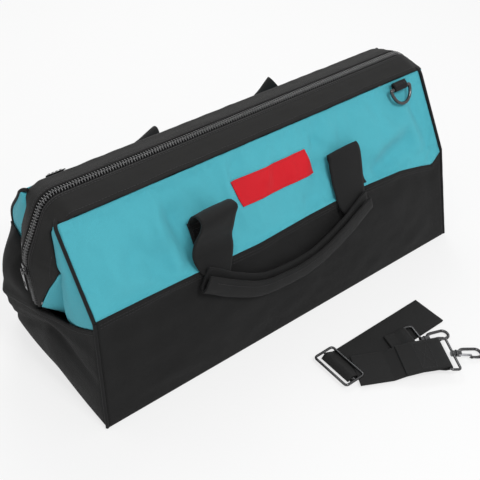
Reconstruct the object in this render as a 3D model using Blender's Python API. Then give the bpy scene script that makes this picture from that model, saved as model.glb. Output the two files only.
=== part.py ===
"""Tool bag with a wire-framed zip mouth, two web handles and a loose shoulder strap.

Units are metres, +Z is up and +X runs to the bag's right end. The origin is the
centre of the base on the floor. Each object is one separate piece of the bag.
"""

import math

import bmesh
import bpy
from mathutils import Matrix, Vector

# Clearances and shared cloth sizes
GAP = 0.0003
CUT_OVERRUN = 0.002
MERGE = 0.00002
FABRIC = 0.0016
WEBBING = 0.0020
WEB_WIDTH = 0.050
PIPING_RADIUS = 0.0022

# Bag body
BASE_LENGTH = 0.600
BASE_WIDTH = 0.246
BASE_THICK = 0.003
BASE_CORNER = 0.006
BOARD_THICK = 0.003
BOARD_MARGIN = 0.006
SEAM_HEIGHT = 0.154
SEAM_LENGTH = 0.566
SEAM_WIDTH = 0.2032
RIM_HEIGHT = 0.2553
RIM_LENGTH = 0.5664
RIM_WIDTH = 0.0870
SIDE_BELLY = 0.003

# End panels, which lean out to a lip and tuck back in
LIP_CORNER_HEIGHT = 0.1365
LIP_MIDDLE_HEIGHT = 0.099
LIP_REACH = 0.0185
TUCK_CORNER_HEIGHT = 0.1395
TUCK_FOLD_HEIGHT = 0.127
TUCK_MIDDLE_HEIGHT = 0.1195
TUCK_FOLD_INSET = 0.010
END_BELLY = 0.006
END_COLUMNS = 12
WALL_ROW_SHARE = 0.5
FOLD_FOOT_SHARE = 0.50
FOLD_TOP_SHARE = 0.62
FOLD_LINE_SHARE = 0.72

# Mouth: two half bands along an arched path, each with a steel wire under it
ZIP_HEIGHT = 0.269
MOUTH_LENGTH = 0.5496
MOUTH_RADIUS = 0.030
KNEE_LENGTH = 0.6230
KNEE_HEIGHT = 0.200
KNEE_RADIUS = 0.045
MOUTH_TIP_HEIGHT = 0.127
BAND_THICK = 0.0022
BAND_EDGE = 0.0075
BAND_TOP_WIDTH = 0.042
BAND_WAIST_WIDTH = 0.036
BAND_HIP_WIDTH = 0.043
BAND_TIP_WIDTH = 0.0115
BAND_WAIST_HEIGHT = 0.235
BAND_HIP_HEIGHT = 0.200
BAND_SLOPE_SHARE = 0.26
END_RUN_STEPS = 4
KNEE_STEPS = 3
ARC_STEPS = 6
TOP_STEPS = 6

# Wire frames and the rivets they turn on
WIRE_RADIUS = 0.00225
WIRE_OFFSET = 0.020
WIRE_SIDES = 2
PIVOT_HEIGHT = 0.1265
EYE_RADIUS = 0.006
EYE_DEPTH = 0.0054
RIVET_RADIUS = 0.0020
RIVET_CLEARANCE = 0.0003
RIVET_HEAD_RADIUS = 0.0042
RIVET_HEAD_THICK = 0.0012
WIRE_JOIN_SHARES = ((0.06, 0.04), (0.20, 0.20), (0.55, 0.58), (0.94, 0.96))

# Zip
TAPE_THICK = 0.0008
TAPE_INNER = 0.0028
TAPE_OUTER = 0.0145
TAPE_MARGIN = 0.0034
EDGE_CLEARANCE = 0.0019
COIL_WIDTH = 0.0045
COIL_HEIGHT = 0.0028
TOOTH_PITCH = 0.0066
TOOTH_REACH = 0.0009
TOOTH_DIP = 0.0007
TOOTH_FREE_LENGTH = 0.010
SLIDER_HEIGHT = 0.181
SLIDER_LENGTH = 0.013
SLIDER_WIDTH = 0.0115
SLIDER_THICK = 0.0020
LUG_HEIGHT = 0.0042
LUG_LENGTH = 0.0060
LUG_WIDTH = 0.0030
LUG_HOLE_RADIUS = 0.0014
PULL_LENGTH = 0.030
PULL_WIDTH = 0.0085
PULL_THICK = 0.0016
PULL_PIN_RADIUS = 0.0010
PULL_SLOT_WIDTH = 0.0040
PULL_SLOT_LENGTH = 0.0060

# Web handles
HANDLE_SPREAD = 0.222
ANCHOR_TOP_HEIGHT = 0.203
ANCHOR_START = 0.004
STRAP_BOTTOM_HEIGHT = 0.147
STRAP_STANDOFF = 0.0010
STRAP_LEAD = 0.003
FRONT_FOLD_RISE = 0.008
FRONT_FOLD_REACH = 0.0140
REAR_FOLD_RISE = 0.036
REAR_FOLD_REACH = 0.0200
GRIP_DEPTH = 0.033
GRIP_THICK = 0.0085
GRIP_SAG = 0.052
GRIP_END_HEIGHT = 0.143
GRIP_END_REACH = 0.0095
GRIP_MIDDLE_REACH = 0.0195
GRIP_STEPS = 14

# Label patch
PATCH_LENGTH = 0.120
PATCH_HEIGHT = 0.030
PATCH_CENTRE_HEIGHT = 0.211
PATCH_THICK = 0.0010
PATCH_SLANT = 0.006

# D-rings
RING_X = 0.235
RING_WIDTH = 0.039
RING_LENGTH = 0.026
RING_WIRE_RADIUS = 0.0020
RING_SIDES = 2
TAB_WIDTH = 0.024
TAB_WALL = 0.0016
TAB_TAIL = 0.0095
TAB_HOLE_CLEARANCE = 0.0003

# Shoulder strap, folded on the floor in front of the bag
STRAP_THICK = 0.0016
STRAP_LAYER_PITCH = 0.0026
STRAP_RUN_LENGTH = 0.184
STRAP_RUN_X = -0.029
STRAP_RUN_Y = -0.2240
STRAP_END_LENGTH = 0.1045
STRAP_END_X = 0.0076
STRAP_END_Y = -0.2480
STRAP_END_TURN_DEG = -27.0
STRAP_END_LOW = 0.0054
STRAP_END_HIGH = 0.0134
STRAP_END_SHARES = ((0.30, 0.0), (0.45, 0.58), (0.66, 1.0), (0.86, 1.0))
TAB_STRAP_LENGTH = 0.030
GLIDE_WIDTH = 0.060
GLIDE_LENGTH = 0.027
GLIDE_WIRE_RADIUS = 0.0018
GLIDE_HEIGHT = 0.0067

# Snap hooks
LOOP_WIDTH = 0.055
LOOP_LENGTH = 0.014
LOOP_WIRE_RADIUS = 0.0018
LOOP_CORNER = 0.0023
LOOP_BOSS_RADIUS = 0.0042
LOOP_BOSS_LENGTH = 0.0050
SWIVEL_PIN_RADIUS = 0.0020
SWIVEL_CLEARANCE = 0.0003
SWIVEL_HEAD_RADIUS = 0.0032
SWIVEL_HEAD_LENGTH = 0.0016
HOOK_BARREL_RADIUS = 0.0045
HOOK_BARREL_LENGTH = 0.0080
HOOK_LENGTH = 0.034
HOOK_WIDTH = 0.0185
HOOK_WIRE_RADIUS = 0.0021
HOOK_OPEN_SHARE = 0.46
GATE_THICK = 0.0022
GATE_WIDTH = 0.0034
GATE_LAP = 0.0025
HOOK_ONE_X = 0.0882
HOOK_ONE_Y = -0.2553
HOOK_ONE_HEIGHT = 0.0083
HOOK_ONE_TURN_DEG = -15.0
HOOK_ONE_PITCH_DEG = 5.6
HOOK_TWO_PITCH_DEG = 10.8

# Round parts
ROUND_STEPS = 16
SMALL_STEPS = 12


def clear_scene():
    """Remove every object, so the model starts from nothing."""
    for obj in list(bpy.data.objects):
        bpy.data.objects.remove(obj, do_unlink=True)


def make_material(name, colour, roughness, metallic=0.0):
    """Return a Principled material of the given colour."""
    material = bpy.data.materials.new(name)
    material.use_nodes = True
    shader = material.node_tree.nodes["Principled BSDF"]
    shader.inputs["Base Color"].default_value = (*colour, 1.0)
    shader.inputs["Roughness"].default_value = roughness
    shader.inputs["Metallic"].default_value = metallic
    material.diffuse_color = (*colour, 1.0)
    return material


TEAL = (0.085, 0.42, 0.50)
BLACK_CLOTH = (0.028, 0.028, 0.032)
BLACK_WEB = (0.020, 0.020, 0.024)
RED = (0.72, 0.03, 0.05)
STEEL = (0.30, 0.30, 0.32)
GUNMETAL = (0.10, 0.10, 0.11)
BOARD_GREY = (0.10, 0.10, 0.10)


def add_object(name, mesh, colour, roughness, metallic=0.0):
    """Link a mesh as one named piece with its own material."""
    obj = bpy.data.objects.new(name, mesh)
    bpy.context.collection.objects.link(obj)
    mesh.materials.clear()
    mesh.materials.append(make_material(name, colour, roughness, metallic))
    return obj


def mesh_from(bm, name):
    """Write a bmesh to a mesh whose faces all point out."""
    bmesh.ops.recalc_face_normals(bm, faces=bm.faces)
    mesh = bpy.data.meshes.new(name)
    bm.to_mesh(mesh)
    bm.free()
    return mesh


def set_origin(obj, point):
    """Move an object's origin to a joint's axis and leave its shape in place."""
    shift = Vector(point)
    obj.data.transform(Matrix.Translation(-shift))
    obj.location = shift


def loft(name, loops):
    """Loft one closed body through loops of equal count, with both ends filled."""
    bm = bmesh.new()
    rings = [[bm.verts.new(point) for point in loop] for loop in loops]
    count = len(loops[0])
    for low, high in zip(rings, rings[1:]):
        for i in range(count):
            j = (i + 1) % count
            bm.faces.new((low[i], low[j], high[j], high[i]))
    bm.faces.new(rings[0])
    bm.faces.new(rings[-1])
    return mesh_from(bm, name)


def add_sheet(name, rows, thick, outward, colour, roughness=0.85):
    """Make cloth from a grid of points on its outer face, thickened inwards."""
    bm = bmesh.new()
    grid = [[bm.verts.new(point) for point in row] for row in rows]
    for low, high in zip(grid, grid[1:]):
        for i in range(len(low) - 1):
            bm.faces.new((low[i], low[i + 1], high[i + 1], high[i]))
    bm.normal_update()
    facing = sum((face.normal * face.calc_area() for face in bm.faces), Vector())
    if facing.dot(Vector(outward)) < 0:
        bmesh.ops.reverse_faces(bm, faces=bm.faces)
    mesh = bpy.data.meshes.new(name)
    bm.to_mesh(mesh)
    bm.free()
    obj = add_object(name, mesh, colour, roughness)
    solid = obj.modifiers.new("Thickness", "SOLIDIFY")
    solid.thickness = thick
    solid.offset = -1.0
    solid.use_even_offset = True
    return obj


def add_tube(name, points, radius, sides, cyclic, colour, roughness, metallic):
    """Make a round wire along points, as a curve turned into a mesh."""
    curve = bpy.data.curves.new(name, "CURVE")
    curve.dimensions = "3D"
    curve.bevel_depth = radius
    curve.bevel_resolution = sides
    curve.use_fill_caps = not cyclic
    spline = curve.splines.new("POLY")
    spline.points.add(len(points) - 1)
    for slot, point in zip(spline.points, points):
        slot.co = (*point, 1.0)
    spline.use_cyclic_u = cyclic
    guide = bpy.data.objects.new(name + "_path", curve)
    bpy.context.collection.objects.link(guide)
    mesh = bpy.data.meshes.new_from_object(guide)
    bpy.data.objects.remove(guide, do_unlink=True)
    bm = bmesh.new()
    bm.from_mesh(mesh)
    bmesh.ops.remove_doubles(bm, verts=bm.verts, dist=MERGE)
    return add_object(name, mesh_from(bm, name), colour, roughness, metallic)


def cylinder_mesh(name, start, end, radius, steps):
    """Return a closed cylinder between two points."""
    start = Vector(start)
    along = Vector(end) - start
    bm = bmesh.new()
    bmesh.ops.create_cone(bm, cap_ends=True, segments=steps, radius1=radius,
                          radius2=radius, depth=along.length)
    turn = Vector((0, 0, 1)).rotation_difference(along).to_matrix().to_4x4()
    bmesh.ops.transform(bm, matrix=Matrix.Translation(start + along / 2) @ turn, verts=bm.verts)
    return mesh_from(bm, name)


def box_mesh(name, low, high):
    """Return a box between two corners."""
    low = Vector(low)
    high = Vector(high)
    size = high - low
    bm = bmesh.new()
    bmesh.ops.create_cube(bm, size=1.0)
    bmesh.ops.scale(bm, vec=size, verts=bm.verts)
    bmesh.ops.translate(bm, vec=(low + high) / 2, verts=bm.verts)
    return mesh_from(bm, name)


def boolean(obj, other_mesh, operation):
    """Join or cut a piece with another mesh and keep the result in its mesh."""
    tool = bpy.data.objects.new(obj.name + "_tool", other_mesh)
    bpy.context.collection.objects.link(tool)
    modifier = obj.modifiers.new("Boolean", "BOOLEAN")
    modifier.operation = operation
    modifier.solver = "EXACT"
    modifier.object = tool
    bpy.context.view_layer.update()
    graph = bpy.context.evaluated_depsgraph_get()
    result = bpy.data.meshes.new_from_object(obj.evaluated_get(graph))
    bm = bmesh.new()
    bm.from_mesh(result)
    bmesh.ops.remove_doubles(bm, verts=bm.verts, dist=MERGE)
    bmesh.ops.dissolve_degenerate(bm, edges=bm.edges, dist=MERGE)
    bm.to_mesh(result)
    bm.free()
    obj.modifiers.remove(modifier)
    kept = obj.data.materials[0]
    obj.data = result
    result.materials.clear()
    result.materials.append(kept)
    bpy.data.objects.remove(tool, do_unlink=True)


def mix(low, high, share):
    """Return the value a share of the way from low to high."""
    return low + (high - low) * share


def corner_at(height):
    """Return the bag corner's half length and half width at a height."""
    if height <= SEAM_HEIGHT:
        share = height / SEAM_HEIGHT
        return (mix(BASE_LENGTH, SEAM_LENGTH, share) / 2, mix(BASE_WIDTH, SEAM_WIDTH, share) / 2)
    share = (height - SEAM_HEIGHT) / (RIM_HEIGHT - SEAM_HEIGHT)
    return (mix(SEAM_LENGTH, RIM_LENGTH, share) / 2, mix(SEAM_WIDTH, RIM_WIDTH, share) / 2)


UPPER_RUN = (SEAM_WIDTH - RIM_WIDTH) / 2
UPPER_RISE = RIM_HEIGHT - SEAM_HEIGHT
UPPER_SLANT = math.hypot(UPPER_RUN, UPPER_RISE)
UPPER_SIN = UPPER_RUN / UPPER_SLANT
UPPER_COS = UPPER_RISE / UPPER_SLANT
PIPING_SEAT = PIPING_RADIUS + GAP


def upper_face(x, height, lift, side):
    """Return a point a lift off an upper panel's outer face, front or rear."""
    half_width = corner_at(height)[1]
    return Vector((x, side * (half_width + lift * UPPER_COS), height + lift * UPPER_SIN))


def add_base():
    """Base fabric and the stiff board that lies on it."""
    base = add_object(
        "base_panel",
        box_mesh("base_panel", (-BASE_LENGTH / 2, -BASE_WIDTH / 2, 0),
                 (BASE_LENGTH / 2, BASE_WIDTH / 2, BASE_THICK)),
        BLACK_CLOTH, 0.85)
    bm = bmesh.new()
    bm.from_mesh(base.data)
    upright = [e for e in bm.edges if abs(e.verts[0].co.z - e.verts[1].co.z) > BASE_THICK / 2]
    bmesh.ops.bevel(bm, geom=upright, offset=BASE_CORNER, segments=3, affect="EDGES", profile=0.5)
    bm.to_mesh(base.data)
    bm.free()
    inset = FABRIC + BOARD_MARGIN
    bottom = BASE_THICK + GAP
    add_object(
        "base_board",
        box_mesh("base_board", (-BASE_LENGTH / 2 + inset, -BASE_WIDTH / 2 + inset, bottom),
                 (BASE_LENGTH / 2 - inset, BASE_WIDTH / 2 - inset, bottom + BOARD_THICK)),
        BOARD_GREY, 0.6)


def add_lower_side(name, side):
    """Long black lower panel, with a slight belly."""
    bottom = BASE_THICK + GAP
    rows = []
    for row in range(5):
        v = row / 4
        height = mix(bottom, SEAM_HEIGHT, v)
        half_length, half_width = corner_at(height)
        reach = half_length - PIPING_SEAT
        line = []
        for column in range(9):
            u = column / 8
            belly = SIDE_BELLY * math.sin(math.pi * u) * math.sin(math.pi * v)
            line.append((mix(-reach, reach, u), side * (half_width + belly), height))
        rows.append(line)
    add_sheet(name, rows, FABRIC, (0, side, 0), BLACK_CLOTH)


def add_upper_side(name, side):
    """Long teal upper panel, from the seam to the mouth band."""
    bottom = SEAM_HEIGHT + GAP + FABRIC * UPPER_SIN
    rows = []
    for row in range(4):
        height = mix(bottom, RIM_HEIGHT, row / 3)
        reach = corner_at(height)[0] - PIPING_SEAT
        rows.append([upper_face(mix(-reach, reach, c / 6), height, 0, side) for c in range(7)])
    add_sheet(name, rows, FABRIC, (0, side, 0), TEAL)


def fillet(before, bend, after, radius, steps):
    """Return points and outward normals on an arc that rounds one bend of a path."""
    first = (bend - before).normalized()
    second = (after - bend).normalized()
    turn = first.angle(second)
    start = bend - first * radius * math.tan(turn / 2)
    normal = Vector((-first.y, first.x))
    centre = start - normal * radius
    spots = []
    for step in range(steps + 1):
        angle = turn * step / steps
        swung = Matrix.Rotation(-angle, 2) @ normal
        spots.append((centre + swung * radius, swung))
    return spots


def mouth_stations():
    """Return the mouth path from the left tip over the top to the right tip.

    Each station is a point and its outward normal in the XZ plane.
    """
    tip = Vector((-KNEE_LENGTH / 2, MOUTH_TIP_HEIGHT))
    knee = Vector((-KNEE_LENGTH / 2, KNEE_HEIGHT))
    bend = Vector((-MOUTH_LENGTH / 2, ZIP_HEIGHT))
    knee_arc = fillet(tip, knee, bend, KNEE_RADIUS, KNEE_STEPS)
    top_arc = fillet(knee, bend, Vector((0, ZIP_HEIGHT)), MOUTH_RADIUS, ARC_STEPS)
    out = knee_arc[0][1]
    left = [(tip.lerp(knee_arc[0][0], s / END_RUN_STEPS), out) for s in range(END_RUN_STEPS)]
    left += knee_arc + top_arc
    start = top_arc[-1][0].x
    top = [(Vector((mix(start, -start, s / TOP_STEPS), ZIP_HEIGHT)), Vector((0, 1)))
           for s in range(1, TOP_STEPS)]
    flip = Vector((-1, 1))
    right = [(point * flip, normal * flip) for point, normal in reversed(left)]
    return left + top + right


def mouth_at_height(height):
    """Return the station on the left end of the mouth path at a height."""
    stations = mouth_stations()
    for low, high in zip(stations, stations[1:]):
        if high[0].y >= height:
            share = max((height - low[0].y) / (high[0].y - low[0].y), 0)
            return (low[0].lerp(high[0], share), low[1].lerp(high[1], share).normalized())
    return stations[0]


def band_half_width(height):
    """Return the band's half width at a height on the mouth path."""
    if height >= BAND_WAIST_HEIGHT:
        share = (height - BAND_WAIST_HEIGHT) / (ZIP_HEIGHT - BAND_WAIST_HEIGHT)
        return mix(BAND_WAIST_WIDTH, BAND_TOP_WIDTH, share)
    if height >= BAND_HIP_HEIGHT:
        share = (height - BAND_HIP_HEIGHT) / (BAND_WAIST_HEIGHT - BAND_HIP_HEIGHT)
        return mix(BAND_HIP_WIDTH, BAND_WAIST_WIDTH, share)
    share = (height - MOUTH_TIP_HEIGHT) / (BAND_HIP_HEIGHT - MOUTH_TIP_HEIGHT)
    return mix(BAND_TIP_WIDTH, BAND_HIP_WIDTH, share)


def band_drop(across):
    """Return how far the band's outer face lies below the zip line at a distance from it."""
    return BAND_SLOPE_SHARE * max(across - BAND_EDGE, 0)


def at_station(station, across, depth, side):
    """Return the point across the mouth path and a depth under it."""
    point, normal = station
    place = point - normal * depth
    return Vector((place.x, side * across, place.y))


def sweep_mouth(name, section, side, colour, roughness):
    """Sweep a section along the whole mouth path."""
    loops = []
    for station in mouth_stations():
        width = band_half_width(station[0].y)
        loops.append([at_station(station, across, depth, side) for across, depth in section(width)])
    return add_object(name, loft(name, loops), colour, roughness)


def band_section(width):
    """Half band: a strip of cloth that falls away from the zip."""
    middle = mix(BAND_EDGE, width, 0.5)
    top = [(a, band_drop(a)) for a in (BAND_EDGE, middle, width)]
    return top + [(a, d + BAND_THICK) for a, d in reversed(top)]


TAPE_DEPTH = BAND_THICK + GAP


def tape_section(width):
    """Zip tape, under the band's edge."""
    outer = min(TAPE_OUTER, width - TAPE_MARGIN)
    top = [(a, band_drop(a) + TAPE_DEPTH) for a in (TAPE_INNER, BAND_EDGE, outer)]
    return top + [(a, d + TAPE_THICK) for a, d in reversed(top)]


COIL_BOTTOM = TAPE_DEPTH - GAP
COIL_TOP = COIL_BOTTOM - COIL_HEIGHT
COIL_GAP_SHARE = 0.75


def even_stations(pitch):
    """Return mouth stations an even pitch apart, and the distance of each from the nearer tip."""
    stations = mouth_stations()
    lengths = [(high[0] - low[0]).length for low, high in zip(stations, stations[1:])]
    total = sum(lengths)
    count = 2 * round(total / pitch / 2)
    spots = []
    index = 0
    passed = 0.0
    for step in range(count + 1):
        wanted = total * step / count
        while index < len(lengths) - 1 and passed + lengths[index] < wanted:
            passed += lengths[index]
            index += 1
        share = min((wanted - passed) / lengths[index], 1.0)
        low, high = stations[index], stations[index + 1]
        place = (low[0].lerp(high[0], share), low[1].lerp(high[1], share).normalized())
        spots.append((place, min(wanted, total - wanted)))
    return spots


def add_zip_coil(name, side):
    """Half of the zip coil, whose teeth mesh with the other half's along a zigzag line."""
    loops = []
    for step, (station, from_tip) in enumerate(even_stations(TOOTH_PITCH / 2)):
        grown = min(max(from_tip / TOOTH_FREE_LENGTH - 1, 0), 1)
        wave = grown if step % 2 else -grown
        inner = GAP * COIL_GAP_SHARE + side * wave * TOOTH_REACH
        top = COIL_TOP + TOOTH_DIP * (1 + side * wave) / 2
        section = [(inner, COIL_BOTTOM), (inner, top), (COIL_WIDTH, top), (COIL_WIDTH, COIL_BOTTOM)]
        loops.append([at_station(station, across, depth, side) for across, depth in section])
    return add_object(name, loft(name, loops), BLACK_WEB, 0.35)


def add_mouth_half(prefix, side):
    """Band, tape and coil of one half of the mouth."""
    sweep_mouth(prefix + "_mouth_band", band_section, side, BLACK_CLOTH, 0.85)
    sweep_mouth(prefix + "_zip_tape", tape_section, side, BLACK_WEB, 0.9)
    add_zip_coil(prefix + "_zip_coil", side)


def eye_centre(layer):
    """Return the distance from the middle of a wire eye's centre, outer layer first."""
    pitch = 2 * WIRE_RADIUS + GAP
    return KNEE_LENGTH / 2 - EYE_DEPTH - WIRE_RADIUS - layer * pitch


def add_wire_frame(name, side, layer):
    """Steel wire under half of the band, with an eye at each end."""
    depth = band_drop(WIRE_OFFSET) + BAND_THICK + GAP + WIRE_RADIUS
    stations = mouth_stations()
    skip = END_RUN_STEPS
    run = stations[skip:-skip]
    upper = [at_station(station, WIRE_OFFSET, depth, side) for station in run]
    join_top = run[0][0].y
    left_join = []
    for across_share, rise_share in WIRE_JOIN_SHARES:
        height = mix(PIVOT_HEIGHT + WIRE_RADIUS, join_top, rise_share)
        x = mix(-eye_centre(layer), depth - KNEE_LENGTH / 2, rise_share)
        left_join.append(Vector((x, side * WIRE_OFFSET * across_share, height)))
    right_join = [Vector((-p.x, p.y, p.z)) for p in reversed(left_join)]
    wire = add_tube(name, left_join + upper + right_join, WIRE_RADIUS, WIRE_SIDES, False,
                    STEEL, 0.35, 1.0)
    for end in (-1, 1):
        centre = end * eye_centre(layer)
        low = (centre - WIRE_RADIUS, 0, PIVOT_HEIGHT)
        high = (centre + WIRE_RADIUS, 0, PIVOT_HEIGHT)
        boolean(wire, cylinder_mesh("eye", low, high, EYE_RADIUS, ROUND_STEPS), "UNION")
        low = (centre - WIRE_RADIUS - CUT_OVERRUN, 0, PIVOT_HEIGHT)
        high = (centre + WIRE_RADIUS + CUT_OVERRUN, 0, PIVOT_HEIGHT)
        hole = RIVET_RADIUS + RIVET_CLEARANCE
        boolean(wire, cylinder_mesh("hole", low, high, hole, ROUND_STEPS), "DIFFERENCE")
    return wire


def add_rivet(name, end):
    """Rivet through both wire eyes, with a head on each side."""
    outer = eye_centre(0) + WIRE_RADIUS + GAP
    inner = eye_centre(1) - WIRE_RADIUS - GAP
    sink = RIVET_HEAD_THICK / 2
    pin = cylinder_mesh(name, (end * (inner - sink), 0, PIVOT_HEIGHT),
                        (end * (outer + sink), 0, PIVOT_HEIGHT), RIVET_RADIUS, ROUND_STEPS)
    rivet = add_object(name, pin, STEEL, 0.3, 1.0)
    for face, step in ((outer, RIVET_HEAD_THICK), (inner, -RIVET_HEAD_THICK)):
        head = cylinder_mesh("head", (end * face, 0, PIVOT_HEIGHT), (end * (face + step), 0, PIVOT_HEIGHT),
                             RIVET_HEAD_RADIUS, ROUND_STEPS)
        boolean(rivet, head, "UNION")


def gusset_rows():
    """Return a gusset's edges in the positive quadrant, bottom row first.

    Each row holds a point beside the corner piping and a point beside the band's edge.
    """
    slope = math.hypot(1, UPPER_RUN / UPPER_RISE)
    highest = RIM_HEIGHT - BAND_THICK
    stations = mouth_stations()[:END_RUN_STEPS + KNEE_STEPS + 1] + [mouth_at_height(highest)]
    rows = []
    for station in stations:
        share = (station[0].y - MOUTH_TIP_HEIGHT) / (highest - MOUTH_TIP_HEIGHT)
        height = mix(TUCK_CORNER_HEIGHT + GAP, RIM_HEIGHT, share)
        half_length, half_width = corner_at(height)
        piping = Vector((half_length + FABRIC / 2, half_width - FABRIC / 2 - PIPING_SEAT * slope,
                         height))
        width = band_half_width(station[0].y)
        edge = at_station(station, width + EDGE_CLEARANCE, band_drop(width) + BAND_THICK / 2, 1)
        rows.append((piping, Vector((-edge.x, edge.y, edge.z)), share))
    return rows


def fold_foot():
    """Return the foot of the gusset's fold in the positive quadrant."""
    half_length, half_width = corner_at(TUCK_FOLD_HEIGHT)
    return Vector((half_length - TUCK_FOLD_INSET, half_width * FOLD_FOOT_SHARE, TUCK_FOLD_HEIGHT))


def add_gusset(name, end, side):
    """Teal gusset from the corner piping over a soft fold to the band's edge."""
    foot = fold_foot() + Vector((0, 0, GAP + FABRIC))
    rows = []
    for piping, band, share in gusset_rows():
        near_foot = max(1 - share / FOLD_TOP_SHARE, 0)
        fold = piping.lerp(band, FOLD_LINE_SHARE).lerp(foot, near_foot)
        line = [band, band.lerp(fold, 0.5), fold, fold.lerp(piping, 0.5), piping]
        rows.append([(end * p.x, side * p.y, p.z) for p in line])
    add_sheet(name, rows, FABRIC, (end, side, 0), TEAL)


def add_lower_end(name, end):
    """Black end panel, which leans out to its lip and tucks in under the gussets."""
    bottom = BASE_THICK + GAP
    seat = FABRIC / 2 + PIPING_SEAT * math.hypot(1, (BASE_WIDTH - SEAM_WIDTH) / 2 / SEAM_HEIGHT)
    band = gusset_rows()[0][1]
    half_length, half_width = corner_at(TUCK_CORNER_HEIGHT)
    tuck_corner = Vector((half_length + FABRIC / 2, half_width - seat, TUCK_CORNER_HEIGHT))
    tuck_middle = Vector((band.x - FABRIC, 0, TUCK_MIDDLE_HEIGHT))
    rows = [[], [], [], []]
    for column in range(END_COLUMNS + 1):
        u = mix(-1, 1, column / END_COLUMNS)
        across = abs(u)
        middle_share = 1 - across * across
        lip_height = mix(LIP_CORNER_HEIGHT, LIP_MIDDLE_HEIGHT, middle_share)
        for row, share in enumerate((0.0, WALL_ROW_SHARE, 1.0)):
            height = mix(bottom, lip_height, share)
            half_length, half_width = corner_at(height)
            belly = mix(END_BELLY, LIP_REACH, share)
            reach = mix(half_length, BASE_LENGTH / 2 + belly, middle_share) + FABRIC / 2
            rows[row].append((end * reach, u * (half_width - seat), height))
        if across < FOLD_FOOT_SHARE:
            place = tuck_middle.lerp(fold_foot(), across / FOLD_FOOT_SHARE)
        else:
            place = fold_foot().lerp(tuck_corner, (across - FOLD_FOOT_SHARE) / (1 - FOLD_FOOT_SHARE))
        rows[3].append((end * place.x, math.copysign(place.y, u) if u else 0, place.z))
    add_sheet(name, rows, FABRIC, (end, 0, 0), BLACK_CLOTH)


def add_piping(end, side, end_name, side_name):
    """Corded piping along one corner, in a lower and an upper length."""
    def place(height):
        half_length, half_width = corner_at(height)
        return Vector((end * half_length, side * (half_width - FABRIC / 2), height))

    lower_dip = PIPING_RADIUS * (BASE_WIDTH - SEAM_WIDTH) / 2 / SEAM_HEIGHT
    low = place(BASE_THICK + GAP + lower_dip)
    name = f"{side_name}_{end_name}_lower_piping"
    add_tube(name, [low, place(SEAM_HEIGHT)], PIPING_RADIUS, 2, False, BLACK_WEB, 0.8, 0)
    high = place(SEAM_HEIGHT + lower_dip + PIPING_RADIUS * UPPER_SIN + GAP)
    name = f"{side_name}_{end_name}_upper_piping"
    add_tube(name, [high, place(RIM_HEIGHT)], PIPING_RADIUS, 2, False, BLACK_WEB, 0.8, 0)


def add_label_patch():
    """Plain red patch sewn on the front upper panel."""
    half = PATCH_LENGTH / 2
    low = PATCH_CENTRE_HEIGHT - PATCH_HEIGHT / 2
    high = PATCH_CENTRE_HEIGHT + PATCH_HEIGHT / 2
    lift = GAP + PATCH_THICK
    rows = []
    for height, shift in ((low, PATCH_SLANT / 2), (high, -PATCH_SLANT / 2)):
        rows.append([upper_face(mix(-half, half, c / 4) + shift, height, lift, -1) for c in range(5)])
    add_sheet("label_patch", rows, PATCH_THICK, (0, -1, 0), RED, 0.6)


def ribbon_loops(path, thick, start, across):
    """Return the two end outlines of a ribbon that follows a path of its middle line.

    The path holds (along, height) points; start maps them to space, and across is
    the vector from one edge of the ribbon to the other.
    """
    outlines = []
    points = [Vector(p) for p in path]
    left = []
    right = []
    for i, point in enumerate(points):
        before = points[max(i - 1, 0)]
        after = points[min(i + 1, len(points) - 1)]
        first = (point - before).normalized() if i else (after - point).normalized()
        second = (after - point).normalized() if i < len(points) - 1 else first
        tangent = (first + second).normalized()
        normal = Vector((-tangent.y, tangent.x))
        spread = thick / 2 / max(normal.dot(Vector((-first.y, first.x))), 0.5)
        left.append(point + normal * spread)
        right.append(point - normal * spread)
    outline = left + list(reversed(right))
    for share in (-0.5, 0.5):
        outlines.append([start(p) + across * share for p in outline])
    return outlines


def add_ribbon(name, path, thick, start, across, colour=BLACK_WEB):
    """Make a webbing piece as a closed ribbon."""
    return add_object(name, loft(name, ribbon_loops(path, thick, start, across)), colour, 0.8)


def arc_points(centre, radius, start_deg, end_deg, steps):
    """Return points on an arc, in the plane of the path."""
    points = []
    for step in range(steps + 1):
        angle = math.radians(mix(start_deg, end_deg, step / steps))
        points.append((centre[0] + radius * math.cos(angle), centre[1] + radius * math.sin(angle)))
    return points


def handle_path(rise, reach):
    """Return a hanging strap's path as distance out from the middle and height."""
    lift = GAP + WEBBING / 2
    root = upper_face(0, ANCHOR_TOP_HEIGHT + GAP, lift, 1)
    start = upper_face(0, ANCHOR_TOP_HEIGHT + STRAP_LEAD, lift, 1)
    half_width = start.y
    top = ANCHOR_TOP_HEIGHT + rise
    grip_face = corner_at(GRIP_END_HEIGHT)[1] + GRIP_END_REACH + GRIP_THICK / 2
    bottom_out = grip_face + STRAP_STANDOFF + WEBBING / 2
    path = [(root.y, root.z), (start.y, start.z)]
    knee = (half_width + reach * 0.15, mix(start.z, top, 0.75))
    crown = (half_width + reach * 0.50, top)
    shoulder = (half_width + reach * 0.90, mix(start.z, top, 0.70))
    path += [knee, crown, shoulder]
    bottom = (bottom_out, STRAP_BOTTOM_HEIGHT)
    for share in (0.35, 0.68, 1.0):
        path.append((mix(shoulder[0], bottom[0], share ** 0.8), mix(shoulder[1], bottom[1], share)))
    return path


def grip_station(share, side):
    """Return the grip's middle line, from the left strap to the right."""
    u = mix(-1, 1, share)
    x = u * HANDLE_SPREAD / 2
    sag = 1 - abs(u) ** 2.2
    height = GRIP_END_HEIGHT - GRIP_SAG * sag
    reach = mix(GRIP_END_REACH, GRIP_MIDDLE_REACH, sag)
    return Vector((x, side * (corner_at(GRIP_END_HEIGHT)[1] + reach), height))


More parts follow.
